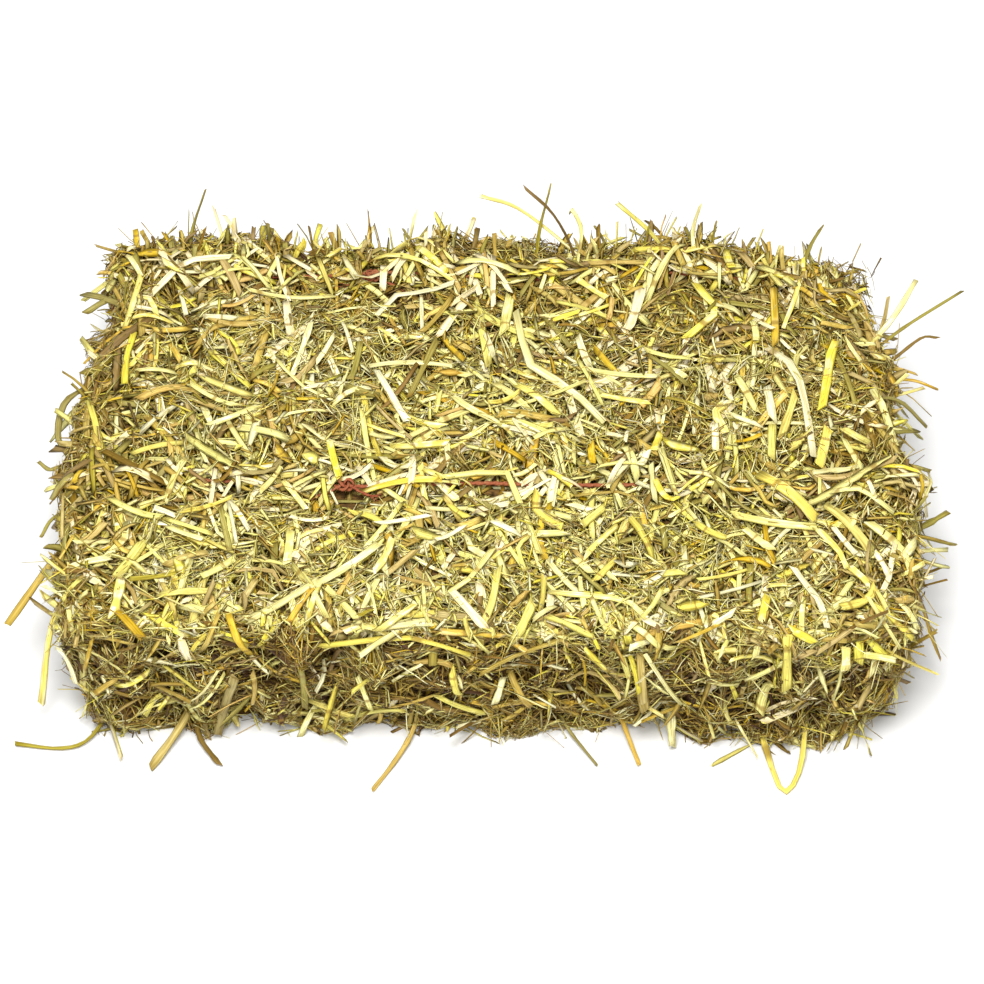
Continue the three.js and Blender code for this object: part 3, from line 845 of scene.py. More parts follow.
def linear(rgb):
    """An sRGB colour of 0 to 255 as a linear one."""
    share = np.array(rgb) / 255.0
    value = np.where(share <= 0.04045, share / 12.92, ((share + 0.055) / 1.055) ** 2.4)
    return (*value.tolist(), 1.0)


class Graph:
    """Short ways to add and join a material's nodes."""

    def __init__(self, name):
        self.material = bpy.data.materials.new(name)
        self.material.use_nodes = True
        self.tree = self.material.node_tree
        self.shader = self.tree.nodes["Principled BSDF"]

    def feed(self, socket, value):
        if isinstance(value, bpy.types.NodeSocket):
            self.tree.links.new(value, socket)
        else:
            socket.default_value = value

    def node(self, kind, inputs=(), **settings):
        made = self.tree.nodes.new(kind)
        for key, value in settings.items():
            setattr(made, key, value)
        for key, value in dict(inputs).items():
            self.feed(made.inputs[key], value)
        return made

    def math(self, operation, *values):
        made = self.tree.nodes.new("ShaderNodeMath")
        made.operation = operation
        for socket, value in zip(made.inputs, values):
            self.feed(socket, value)
        return made.outputs[0]

    def times(self, first, second):
        return self.math("MULTIPLY", first, second)

    def fit(self, value, low, high, to_low=0.0, to_high=1.0):
        made = self.node("ShaderNodeMapRange", clamp=True)
        for socket, number in zip(made.inputs, (value, low, high, to_low, to_high)):
            self.feed(socket, number)
        return made.outputs[0]

    def vector(self, x, y, z=0.0):
        made = self.node("ShaderNodeCombineXYZ")
        for socket, number in zip(made.inputs, (x, y, z)):
            self.feed(socket, number)
        return made.outputs[0]

    def mix(self, share, first, second, blend="MIX"):
        made = self.node("ShaderNodeMix", data_type="RGBA", blend_type=blend)
        self.feed(made.inputs["Factor"], share)
        self.feed(made.inputs["A"], first)
        self.feed(made.inputs["B"], second)
        return made.outputs["Result"]

    def noise(self, vector, scale, detail=2.0, roughness=0.5):
        made = self.node("ShaderNodeTexNoise", {
            "Vector": vector, "Scale": scale, "Detail": detail, "Roughness": roughness,
        })
        return made.outputs["Fac"]

    def chance(self, vector):
        made = self.node("ShaderNodeTexWhiteNoise", {"Vector": vector}, noise_dimensions="3D")
        return made.outputs["Value"]

    def bump(self, height, strength, distance):
        made = self.node("ShaderNodeBump", {"Strength": strength, "Distance": distance, "Height": height})
        self.feed(self.shader.inputs["Normal"], made.outputs["Normal"])


TONE_COLOURS = {
    "pale": (228, 218, 138),
    "yellow": (228, 211, 94),
    "amber": (204, 166, 60),
    "white": (234, 227, 180),
    "tan": (184, 158, 82),
    "olive": (156, 140, 58),
    "brown": (134, 103, 41),
    # The dark tone is mostly painted shade: only the sides' deep layers and the front's dark patches take it
    "dark": (70, 40, 10),
}
PITH_COLOUR = (246, 241, 214)
PITH_SHADE = (208, 186, 112)
NODE_COLOUR = (140, 110, 40)
STAIN_COLOUR = (110, 82, 20)
# The bed's dark colour is partly painted shade of the gaps between the straws above it
BED_PAINTED_SHADE = (56, 34, 6)
BED_FIBRE = (128, 92, 26)
TWINE_RED = (134, 56, 28)
TWINE_FADED = (148, 88, 50)
TWINE_HAIR = (176, 124, 78)

# How straws differ: a chance from 0 to 1, and the hue, saturation and brightness that it becomes
HUES = (0, 1, 0.497, 0.513)
SATURATIONS = (0, 1, 0.86, 1.08)
VALUES = (0, 1, 0.8, 1.12)

# How far the patterns shift from row to row and from column to column of the atlas
ROW_SHIFT = 7.31
COLUMN_SHIFT = 3.17

# How often each pattern repeats along a straw and round it
GRAIN_REPEATS = (1.6, 28.0)
BLOTCH_REPEATS = (4.0, 4.0)
SPECK_REPEATS = (22.0, 6.0)

# What each pattern does to the skin: its low and high value, and what they become where that isn't 0 and 1
BLEACHED_BLOTCH = (0.5, 0.68)
BLEACHED_STRAW = (0.3, 0.9, 0.0, 0.7)
BLEACHED_ROWS = (TONES["yellow"][1] - 1, TONES["amber"][0] + 1, 1.0, 0.1)
GRAIN_SHADE = (0.34, 0.62, 0.6, 1.19)
BLOTCH_SHADE = (0.3, 0.6, 0.84, 1.06)
# Painted shade: the skin darkens towards a straw's sides, as a round stalk's sides turned from the light
RIM_PAINTED_SHADE = (0.15 * SKIN_END, 0.5 * SKIN_END, 1.0, 0.55)
# Painted shade: the darker the skin, the warmer its colour, as light bounced between straws would make it
PAINTED_SHADE_WARMTH = (1.12, 1.6)
PITH_GRAIN = (0.35, 0.7)
PITH_EDGE = (PITH_START, PITH_START + 0.02)
RING_PLACES = (0, 1, -0.9, 1.2)
RING_EDGE = (0.018, 0.05, 1.0, 0.0)
RING_SHARE = 0.75
WORN_WAVER = 0.2
WORN_END = (0.02, 0.12, 1.0, 0.0)
WORN_STRAW = (0.4, 1.0, 0.0, 0.6)
SPECKS = (0.66, 0.74)
SPECK_SHARE = 0.5
GRAIN_ROUGHNESS = (0.3, 0.7, 0.62, 0.42)
STRAW_SHINE = 0.2

# The bed's two crossing layers of fibres, and the twine's hairs and faded stretches
BED_STRETCH = (260.0, 900.0, 700.0)
CROSSING_STRETCH = (300.0, 1000.0, 800.0)
CROSSING_TURN = (0.3, 0.5, 1.2)
BED_LIT = (0.42, 0.72)
BED_ROUGHNESS = (0.4, 0.7, 0.95, 0.75)
TWINE_HAIR_SCALE = 1400.0
TWINE_FADE_SCALE = 60.0
TWINE_FADE = (0.35, 0.68)
TWINE_HAIRS = (0.5, 0.75, 0.0, 0.55)
TWINE_ROUGHNESS = (0.3, 0.7, 0.9, 0.7)

# The relief of each material: its strength and its depth in metres
STRAW_RELIEF = (0.35, 0.0003)
BED_RELIEF = (0.6, 0.001)
TWINE_RELIEF = (0.5, 0.0004)


def tone_ramp(graph, row):
    """The colour of the tone that a row of the atlas has."""
    ramp = graph.node("ShaderNodeValToRGB")
    ramp.color_ramp.interpolation = "CONSTANT"
    while len(ramp.color_ramp.elements) < len(TONES):
        ramp.color_ramp.elements.new(1.0)
    for point, (tone, (low, _)) in zip(ramp.color_ramp.elements, TONES.items()):
        point.position = low / ATLAS_ROWS
        point.color = linear(TONE_COLOURS[tone])
    graph.feed(ramp.inputs["Fac"], graph.math("DIVIDE", graph.math("ADD", row, 0.5), ATLAS_ROWS))
    return ramp.outputs["Color"]


def straw_material():
    """Dry straw. Each strip of the atlas is one straw's skin, with grain along it, painted shade towards its
    sides and pith inside.
    """
    graph = Graph("dry_straw")
    uv = graph.node("ShaderNodeUVMap", uv_map="OFBake").outputs["UV"]
    parted = graph.node("ShaderNodeSeparateXYZ", {"Vector": uv})
    wide = graph.times(parted.outputs["X"], ATLAS_COLUMNS)
    tall = graph.times(parted.outputs["Y"], ATLAS_ROWS)
    column = graph.math("FLOOR", wide)
    row = graph.math("FLOOR", tall)
    along = graph.math("FRACT", wide)
    around = graph.math("FRACT", tall)
    tone = tone_ramp(graph, row)
    first, second, third = (graph.chance(graph.vector(column, row, draw)) for draw in (1.0, 2.0, 3.0))
    varied = graph.node("ShaderNodeHueSaturation", {
        "Hue": graph.fit(first, *HUES),
        "Saturation": graph.fit(second, *SATURATIONS),
        "Value": graph.fit(third, *VALUES),
        "Color": tone,
    }).outputs["Color"]
    offset = graph.math("ADD", graph.times(row, ROW_SHIFT), graph.times(column, COLUMN_SHIFT))
    grain_at, blotch_at, speck_at = (
        graph.vector(graph.times(along, repeats), graph.times(around, rounds), offset)
        for repeats, rounds in (GRAIN_REPEATS, BLOTCH_REPEATS, SPECK_REPEATS)
    )
    grain = graph.noise(grain_at, 1.0, 3.0, 0.6)
    blotch = graph.noise(blotch_at, 1.0, 2.0)
    bleached = graph.times(graph.fit(blotch, *BLEACHED_BLOTCH), graph.fit(third, *BLEACHED_STRAW))
    bleached = graph.times(bleached, graph.fit(row, *BLEACHED_ROWS))
    skin = graph.mix(bleached, varied, linear(PITH_COLOUR))
    shade = graph.times(graph.fit(grain, *GRAIN_SHADE), graph.fit(blotch, *BLOTCH_SHADE))
    # Painted shade: darker towards the straw's sides
    from_middle = graph.math("ABSOLUTE", graph.math("SUBTRACT", around, SKIN_END / 2))
    shade = graph.times(shade, graph.fit(from_middle, *RIM_PAINTED_SHADE))
    # Painted shade: darker parts of the skin turn warmer
    warm_shade = graph.vector(shade, *(graph.math("POWER", shade, power) for power in PAINTED_SHADE_WARMTH))
    skin = graph.mix(1.0, skin, warm_shade, "MULTIPLY")
    pith = graph.mix(graph.fit(grain, *PITH_GRAIN), linear(PITH_SHADE), linear(PITH_COLOUR))
    skin = graph.mix(graph.fit(around, *PITH_EDGE), skin, pith)
    ring_at = graph.fit(second, *RING_PLACES)
    ring = graph.fit(graph.math("ABSOLUTE", graph.math("SUBTRACT", along, ring_at)), *RING_EDGE)
    skin = graph.mix(graph.times(ring, RING_SHARE), skin, linear(NODE_COLOUR))
    to_end = graph.math("MINIMUM", along, graph.math("SUBTRACT", 1.0, along))
    frayed = graph.math("ADD", to_end, graph.times(graph.math("SUBTRACT", blotch, 0.5), WORN_WAVER))
    stained = graph.times(graph.fit(frayed, *WORN_END), graph.fit(first, *WORN_STRAW))
    skin = graph.mix(stained, skin, linear(STAIN_COLOUR))
    speck = graph.fit(graph.noise(speck_at, 1.0, 2.0), *SPECKS)
    skin = graph.mix(graph.times(speck, SPECK_SHARE), skin, linear(STAIN_COLOUR))
    graph.feed(graph.shader.inputs["Base Color"], skin)
    graph.feed(graph.shader.inputs["Roughness"], graph.fit(grain, *GRAIN_ROUGHNESS))
    graph.shader.inputs["Specular IOR Level"].default_value = STRAW_SHINE
    graph.bump(grain, *STRAW_RELIEF)
    return graph.material


def bed_material():
    """Dusty straw that shows in the gaps of the outer layer, its darkness partly painted shade of the gaps.
    """
    graph = Graph("straw_bed")
    place = graph.node("ShaderNodeTexCoord").outputs["Object"]
    stretched = graph.node("ShaderNodeMapping", {
        "Vector": place, "Scale": BED_STRETCH,
    }).outputs["Vector"]
    crossed = graph.node("ShaderNodeMapping", {
        "Vector": place, "Rotation": CROSSING_TURN, "Scale": CROSSING_STRETCH,
    }).outputs["Vector"]
    fibres = graph.math("MAXIMUM", graph.noise(stretched, 1.0, 3.0), graph.noise(crossed, 1.0, 3.0))
    colour = graph.mix(graph.fit(fibres, *BED_LIT), linear(BED_PAINTED_SHADE), linear(BED_FIBRE))
    graph.feed(graph.shader.inputs["Base Color"], colour)
    graph.feed(graph.shader.inputs["Roughness"], graph.fit(fibres, *BED_ROUGHNESS))
    graph.bump(fibres, *BED_RELIEF)
    return graph.material


def twine_material():
    """Faded red twine, paler where the fibres stand out."""
    graph = Graph("red_twine")
    place = graph.node("ShaderNodeTexCoord").outputs["Object"]
    hairs = graph.noise(place, TWINE_HAIR_SCALE, 3.0)
    fade = graph.noise(place, TWINE_FADE_SCALE, 2.0)
    colour = graph.mix(graph.fit(fade, *TWINE_FADE), linear(TWINE_RED), linear(TWINE_FADED))
    colour = graph.mix(graph.fit(hairs, *TWINE_HAIRS), colour, linear(TWINE_HAIR))
    graph.feed(graph.shader.inputs["Base Color"], colour)
    graph.feed(graph.shader.inputs["Roughness"], graph.fit(hairs, *TWINE_ROUGHNESS))
    graph.bump(hairs, *TWINE_RELIEF)
    return graph.material


STRAW = straw_material()
BED = bed_material()
TWINE = twine_material()


def finish_piece(piece, slot, *nodes):
    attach(piece, "root")
    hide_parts(*nodes)


# Straws read from the photo, by tone and kind: the width of each, then two numbers for each point along it.
# On the top they are x and y. On the front face they are x and the height seen at the face.
TOP_STRAWS = {
    ("brown", "leaf"): [
        (5, -194, 47, -190, 19), (5, 108, 130, 120, 100),
    ],
    ("brown", "stalk"): [
        (4, -192, -23, -159, -46),
    ],
    ("olive", "leaf"): [
        (6, -47, 76, -44, 52),
    ],
    ("olive", "stalk"): [
        (3, -122, 30, -110, 38), (1.6, 61, 60, 69, 40), (3.5, -41, 18, -28, 52),
        (3.5, -67, 47, -71, 22), (2.5, 80, 44, 99, 24), (2, 88, 18, 112, 6), (2.5, 177, 52, 184, 14),
        (3, -131, -58, -125, -82), (1.6, 108, -38, 138, -58), (3, 84, -62, 86, -78),
    ],
    ("tan", "stalk"): [
        (3, -134, 67, -122, 66), (4, 122, 130, 137, 106), (3, -152, 50, -138, 61),
        (4, -144, 106, -131, 82), (3, -36, 56, -21, 80), (3, 20, 88, 33, 78), (3, 50, 99, 78, 98),
        (3, 196, 84, 193, 62), (2.5, 202, 80, 203, 58), (3, 172, 66, 188, 67),
        (4, -118, -112, -111, -100), (1.6, 42, -45, 66, -44, 74, -51), (3, -22, -46, -14, -58),
        (4, 163, -34, 180, -33, 197, -29),
    ],
    ("amber", "leaf"): [
        (5, -205, 112, -172, 104), (4, -30, 34, -15, 34), (4, 184, 56, 186, 44),
        (6, -138, -22, -131, -38), (6, -107, -18, -98, -30), (5, -49, -73, -46, -92),
    ],
    ("amber", "stalk"): [
        (2.4, -140, 73, -124, 80), (5, -177, 10, -154, 22), (3, 62, 80, 60, 68), (4, 147, 90, 145, 51),
        (3, -94, -120, -83, -106), (4, -134, -106, -130, -115), (4, 50, -15, 51, -26),
        (3, -71, -110, -66, -99),
    ],
    ("amber", "split"): [
        (4, -13, 82, -27, 55),
    ],
    ("pale", "leaf"): [
        (5, -151, -13, -121, -38), (5, 156, -49, 168, -44, 196, -28), (5, 5, -82, 10, -96),
    ],
    ("pale", "stalk"): [
        (3.5, -152, 21, -128, 9), (2.5, -125, 82, -83, 81), (2, -110, 42, -93, 18, -80, 10),
        (3.5, -18, 104, 13, 97), (4.5, 12, 73, 18, 41, 22, 36, 40, 20, 57, 0), (4, 2, 26, 18, 8),
        (3.5, -19, 16, 8, -10), (3, -62, 36, -21, 38), (3.5, -46, -8, -13, 6), (3, -60, -6, -43, -4),
        (3.5, -185, -54, -159, -63), (3.5, -150, -27, -158, -54), (4, -113, -119, -82, -104),
        (3.5, -207, -88, -184, -84), (3.3, -22, -38, 8, -31, 17, -55, 25, -80),
        (3, 30, -102, 69, -110, 76, -117), (4, -81, -104, -53, -82), (3, 52, -84, 61, -96),
        (4.5, 120, -56, 160, -65), (4.5, 186, -61, 202, -77, 206, -89), (4, 125, -67, 137, -78),
        (3, -196, 104, -188, 90), (2.5, -180, 28, -161, 30), (3, -93, 62, -101, 30),
        (2, -146, 92, -122, 98), (5, 9, 84, 6, 60), (3, 26, 68, 44, 74), (3, 46, 38, 84, 31),
        (2, 44, 44, 56, 12), (3, -79, 8, -61, 18), (3.5, 80, 82, 90, 100, 100, 116),
        (4, 134, 68, 135, 52), (4, 124, 31, 133, 8), (3, 78, 47, 100, 42), (4, -146, -113, -126, -118),
        (3, -156, -68, -138, -76), (3, -101, -42, -90, -54), (3, -97, -76, -80, -68),
        (4, -137, -98, -122, -88), (2, -172, -54, -158, -53), (3, -200, -77, -185, -72),
        (3, -13, -15, -1, -5), (2, -6, 3, 12, -14), (3, 22, -16, 38, -7), (4, 66, -20, 73, -37),
        (3, -20, -104, -8, -96, 2, -80), (4, 42, -82, 50, -91), (3.5, 177, -8, 185, -26),
        (3, 160, -30, 168, -25, 182, -25), (3, 168, -44, 180, -43, 197, -56), (4, 160, -116, 174, -104),
    ],
    ("pale", "split"): [
        (5, 70, 62, 77, 87),
    ],
    ("yellow", "leaf"): [
        (6, 24, -44, 23, -55, 35, -64), (6, 91, -113, 104, -111), (5, -145, 27, -122, 20),
        (6, -150, -89, -146, -99), (6, -93, -19, -85, -26), (6, -36, -73, -25, -76),
        (6, 87, -14, 103, -17), (6, 150, -12, 159, -5), (5, 141, -94, 155, -87),
    ],
    ("yellow", "stalk"): [
        (3, -190, 65, -168, 67), (3.5, -187, 55, -188, 40, -186, 22), (3, -64, 112, -41, 100, -20, 89),
        (4, -40, 111, -24, 93), (2.5, -52, 127, -21, 104), (4.5, 12, 28, 33, 3),
        (4.5, 105, 92, 117, 71, 100, 55), (5, 178, 57, 174, 48, 166, 8),
        (2.5, 166, 103, 159, 84, 151, 64), (5, 122, 117, 124, 98), (5, -168, -74, -178, -97),
        (3.8, -157, -107, -132, -107), (4, -63, -41, -24, -39), (4.5, 22, -111, 12, -131),
        (4, 5, -89, 3, -109, -3, -124), (4, -80, -12, -74, -36), (6, 134, -32, 160, -57),
        (6, 165, -49, 187, -77), (4.5, 170, -111, 188, -103), (4, 174, -88, 185, -99),
        (2.5, 189, -105, 200, -130), (4, 85, -95, 94, -95), (2, 101, -98, 125, -89),
        (3.5, -188, 90, -195, 62), (3, -162, 37, -150, 38), (4, 44, 92, 58, 80), (3, 56, 18, 80, 14),
        (3, 0, 10, 14, 16), (3, -26, 18, -28, 8), (5, 119, 15, 112, 6, 117, -8), (4, 153, 16, 146, -4),
        (5, -176, -100, -178, -118), (2.5, -157, -64, -134, -73), (4.5, -96, -72, -97, -88),
        (3, -178, -22, -153, -17), (3, -206, -111, -196, -99), (4, -39, -15, -20, -17),
        (4, 20, -4, 31, -9), (4.5, 57, -52, 46, -62), (2.5, 20, -72, 14, -76, 18, -90),
        (4, -54, -98, -46, -84), (3, -19, -52, -10, -58), (3.5, 52, -96, 62, -84), (4, 81, -20, 85, -6),
        (4.5, 141, 0, 140, -18), (5.5, 169, -2, 164, -20), (4, 82, -42, 91, -52),
        (3.5, 102, -64, 115, -72), (3.5, 160, -67, 170, -78, 173, -90),
    ],
    ("yellow", "split"): [
        (2.4, -188, 69, -170, 70), (4, -17, -105, 0, -123),
    ],
    ("white", "leaf"): [
        (5, -161, -86, -160, -95), (5, -116, -2, -120, -18), (5, 61, -87, 71, -84),
    ],
    ("white", "stalk"): [
        (4, -180, 80, -163, 100, -137, 104), (3, -166, 88, -161, 73), (3.6, -149, 66, -132, 66),
        (3, -81, 53, -89, 36), (3, -59, 66, -51, 84, -20, 87), (4, -58, 32, -42, 2),
        (4, 44, 56, 50, 40), (4.5, 141, 48, 154, 35, 157, 17, 161, -17), (2, 11, -46, 29, -40),
        (2.5, -54, -65, -29, -60), (3.5, -53, -20, -40, -32), (3.5, 147, -90, 159, -109, 162, -120),
        (2, -37, 82, -36, 62), (3, -4, 59, 1, 46), (2, -78, 66, -71, 44), (2.5, 135, 70, 144, 59),
        (2, 148, 56, 160, 44), (3, 120, 4, 135, -2), (4.5, 139, 22, 141, 2), (2.5, -97, -62, -78, -62),
        (2, -127, -56, -122, -78), (1.8, 12, -8, 22, -20), (4, 78, -22, 74, -34), (3, 40, -50, 50, -54),
        (3, 2, -64, 15, -71), (2.5, -25, -78, -12, -65), (4, 112, -5, 112, -18),
        (3, 168, -66, 178, -78), (3.5, 187, -78, 194, -91),
    ],
    ("white", "split"): [
        (4, -107, 79, -103, 54), (4, 67, 20, 72, 28), (4, 119, 32, 120, 16),
    ],
}
FRONT_STRAWS = {
    ("olive", "stalk"): [
        (3.6, -89, 79, -90, 28),
    ],
    ("tan", "stalk"): [
        (5, -122, 63, -135, 5), (3, -3, 65, 18, 81, 40, 96), (4, 11, 53, 22, 29), (3, 40, 60, 65, 45),
        (5, 75, 61, 78, 32), (4, 74, 78, 79, 23), (2, 153, 33, 174, 63, 178, 74),
    ],
    ("amber", "stalk"): [
        (4, -123, 109, -114, 74), (4, -34, 73, -17, 69),
    ],
    ("pale", "stalk"): [
        (4, -200, 70, -203, 35), (1.6, -150, 34, -130, 67), (1.8, -146, 34, -127, 64),
        (3, -63, 58, -57, 34), (2.5, 76, 84, 96, 35), (5, 140, 60, 135, 33), (3, 109, 64, 122, 56),
    ],
    ("yellow", "leaf"): [
        (4, 47, 86, 58, 71),
    ],
    ("yellow", "stalk"): [
        (3, 65, 79, 70, 56), (3, 69, 79, 74, 57), (4, -172, 20, -161, 36), (3.5, -180, 51, -165, 56),
        (3, -80, 88, -39, 94, -8, 82), (4, -17, 68, -13, 42), (3, -71, 13, -40, 34), (4, -24, 43, 0, 17),
        (4, 63, 117, 68, 91), (3.5, 117, 85, 144, 73), (5, 143, 101, 146, 60), (4, 144, 105, 156, 97),
        (5, 172, 90, 174, 69), (5, 178, 93, 180, 76), (4, 183, 93, 195, 77), (3.5, 184, 128, 202, 91),
    ],
    ("yellow", "split"): [
        (5, 112, 55, 106, 47),
    ],
    ("white", "stalk"): [
        (2, -159, 53, -138, 74), (3.5, 4, 40, 8, 52),
    ],
    ("white", "split"): [
        (4, -148, 99, -143, 78),
    ],
}
VIEW_SLOPE = math.tan(math.radians(90 - CAMERA_TILT))
OVER_EDGE = 40
ARC_STEPS = 200
HERO_RINGS = 6
HERO_FLATNESS = 0.36
HERO_THICKNESS = (0.5, 1.8)
HERO_ORDER = 1.1
HERO_DELAY = 0.001
HERO_FOLLOW = 0.9
HERO_ROLL = 0.1


def front_arc(height):
    """Distance up the front face and over its edge that is seen at a height on the flat face."""
    arc = np.linspace(-HALF_HEIGHT, HALF_HEIGHT + OVER_EDGE, ARC_STEPS)
    up, drop, _ = rolled(arc, HALF_HEIGHT, *FOOT_TO_TOP_ROLL)
    return np.interp(height - HALF_HEIGHT, up + drop * VIEW_SLOPE, arc)


def along_line(points, count):
    """Evenly spaced points along a line of straight stretches."""
    points = np.array(points, dtype=float)
    lengths = np.linalg.norm(np.diff(points, axis=0), axis=1)
    reached = np.concatenate([[0], np.cumsum(lengths)])
    wanted = np.linspace(0, reached[-1], count)
    return np.stack([np.interp(wanted, reached, points[:, axis]) for axis in range(points.shape[1])], axis=1)


def read_straws(table, to_face):
    """Straws on a face from a table of tones, kinds, widths and points."""
    count = sum(len(entries) for entries in table.values())
    width = np.array([entry[0] for entries in table.values() for entry in entries], dtype=float)
    kinds = np.concatenate([[kind] * len(entries) for (_, kind), entries in table.items()])
    strips = np.concatenate([draw_strips({tone: 1}, len(entries)) for (tone, _), entries in table.items()])
    paths = [
        along_line([to_face(point) for point in zip(entry[1::2], entry[2::2])], PATH_POINTS)
        for entries in table.values()
        for entry in entries
    ]
    return Straws(
        kind=kinds,
        path=np.stack(paths),
        width=width,
        thick=np.clip(HERO_FLATNESS * width, *HERO_THICKNESS),
        order=HERO_ORDER + HERO_DELAY * np.arange(count),
        follow=np.full(count, HERO_FOLLOW),
        strip=strips,
        flip=np.where(kinds == "split", -1.0, 1.0),
        roll=rng.normal(0, HERO_ROLL, count),
    )


# Straws that stick out of a face

# Pokes: straws per unit of area, lowest and highest pitch in degrees, and length
POKES = {
    "top": (2.2, (3, 24), (12, 40)),
    "front": (9.0, (6, 40), (10, 34)),
    "back": (7.0, (6, 40), (10, 32)),
    "left": (7.0, (6, 45), (8, 24)),
    "right": (10.0, (6, 45), (10, 34)),
}
POKE_TONES = dict(pale=28, yellow=22, amber=7, white=6, tan=20, olive=12, brown=5)
EDGE_TONES = dict(pale=16, yellow=16, amber=8, tan=26, olive=22, brown=12)
POKE_KINDS = ("stalk", "split", "leaf", "fibre")
POKE_CHANCES = (0.22, 0.12, 0.16, 0.5)
EDGE_CHANCES = (0.32, 0.18, 0.22, 0.28)
FOOT_CHANCES = (0.12, 0.04, 0.06, 0.78)
POKE_WIDTHS = {"stalk": (1.4, 3.6), "split": (1.8, 4.0), "leaf": (1.8, 4.2), "fibre": (0.7, 1.6)}
POKE_BOX = ((-236.0, -153.0, FLOOR_CLEARANCE), (243.0, 142.0, 140.0))
POKE_FLATNESS = (0.25, 0.5)
POKE_THICKNESS = (0.35, 1.7)
POKE_ROLL = 1.2
POKE_SWAY = 0.2
POKE_OVERHANG = (8, 6)
UPWARD = np.array([0.0, 0.0, 1.0])

# How deep the straws' roots lie under the face, and how much they sag, over a face and at its edge and foot
ROOT_DEPTHS = {"face": 3.0, "edge": 4.0, "foot": 5.0}
SAGS = {"face": 0.1, "edge": 0.15, "foot": 0.1}


def poke_straws(kinds, tones):
    """The looks of straws that stick out."""
    count = len(kinds)
    low, high = np.array([POKE_WIDTHS[kind] for kind in kinds]).T
    width = low + (high - low) * rng.random(count)
    return Straws(
        kind=np.array(kinds),
        path=np.zeros((count, PATH_POINTS, 2)),
        width=width,
        thick=np.clip(width * rng.uniform(*POKE_FLATNESS, count), *POKE_THICKNESS),
        order=np.ones(count),
        follow=np.ones(count),
        strip=draw_strips(tones, count),
        flip=np.where(rng.random(count) < PITH_UP_SHARE["side"], -1.0, 1.0),
        roll=rng.uniform(-POKE_ROLL, POKE_ROLL, count),
    )


def add_pokes(parts, roots, normals, headings, lengths, sag, chances=POKE_CHANCES, tones=POKE_TONES):
    """Adds straws that leave their roots along their headings and sag towards the tip."""
    count = len(roots)
    along = np.linspace(0, 1, PATH_POINTS)[None, :, None]
    straight = roots[:, None, :] + headings[:, None, :] * lengths[:, None, None] * along
    drop = np.zeros((count, PATH_POINTS, 3))
    drop[..., 2] = -(sag * lengths)[:, None] * along[..., 0] ** 2
    sideways = unit(np.cross(headings, normals))
    sway = (rng.normal(0, POKE_SWAY, count) * lengths)[:, None, None] * sideways[:, None, :] * along ** 2
    points = np.clip(straight + drop + sway, *POKE_BOX)
    kinds = rng.choice(POKE_KINDS, size=count, p=chances)
    straws = poke_straws(kinds, tones)
    add_straws(parts, straws, points, np.repeat(normals[:, None, :], PATH_POINTS, axis=1))


def face_pokes(parts, face):
    """Straws that stick out all over a face."""
    density, pitches, reach = POKES[face.name]
    count = int(density * face.area() / AREA_UNIT)
    a = rng.uniform(-1, 1, count) * (face.half[0] + POKE_OVERHANG[0])
    b = rng.uniform(-1, 1, count) * (face.half[1] + POKE_OVERHANG[1])
    roots, normals = face.place(a, b, np.full(count, -ROOT_DEPTHS["face"]))
    pitch = np.radians(rng.uniform(*pitches, count))[:, None]
    turn = rng.uniform(0, 2 * math.pi, count)[:, None]
    flat_a = unit(np.cross(np.cross(normals, face.across), normals))
    flat_b = np.cross(normals, flat_a)
    headings = np.cos(pitch) * (np.cos(turn) * flat_a + np.sin(turn) * flat_b) + np.sin(pitch) * normals
    lengths = skewed(reach, count)
    add_pokes(parts, roots, normals, headings, lengths, np.abs(rng.normal(0, SAGS["face"], count)))


# Edge pokes: the face whose top edge they stand on, low and high place along it, straws per unit of
# length, their length, and lowest and highest lean in degrees. The second and third are clumps.
EDGE_POKES = [
    ("back", -200, 200, 46, (7, 26), (5, 70)),
    ("back", -165, -45, 46, (8, 25), (30, 85)),
    ("back", 25, 195, 44, (10, 30), (25, 80)),
    ("left", -118, 118, 26, (6, 24), (-5, 62)),
    ("right", -118, 118, 36, (7, 28), (-5, 62)),
    ("front", -204, 204, 26, (6, 22), (-50, 45)),
]
EDGE_BAND = (-10, 14)
EDGE_TURN = 0.7


def edge_pokes(parts, face, low, high, density, reach, leans):
    """Straws that stick up and out of a face's top edge."""
    count = int(density * (high - low) / LENGTH_UNIT)
    a = rng.uniform(low, high, count)
    b = face.half[1] + rng.uniform(*EDGE_BAND, count)
    roots, normals = face.place(a, b, np.full(count, -ROOT_DEPTHS["edge"]))
    lean = np.radians(rng.uniform(*leans, count))[:, None]
    turn = rng.normal(0, EDGE_TURN, count)[:, None]
    outward = np.cos(turn) * face.out + np.sin(turn) * face.across
    headings = np.cos(lean) * outward + np.sin(lean) * UPWARD
    tones = POKE_TONES if face.name == "front" else EDGE_TONES
    sag = np.abs(rng.normal(0, SAGS["edge"], count))
    add_pokes(parts, roots, normals, headings, skewed(reach, count), sag, EDGE_CHANCES, tones)


# Foot pokes: the face at whose foot they lie, straws per unit of length, and their length
FOOT_POKES = {"front": (14, (3, 12)), "back": (9, (3, 12)), "left": (10, (3, 14)), "right": (12, (3, 14))}
FOOT_INSET = 6
FOOT_BAND = (1, 12)
FOOT_TURN = 0.9
FOOT_SLOPES = (-0.5, 0.15)


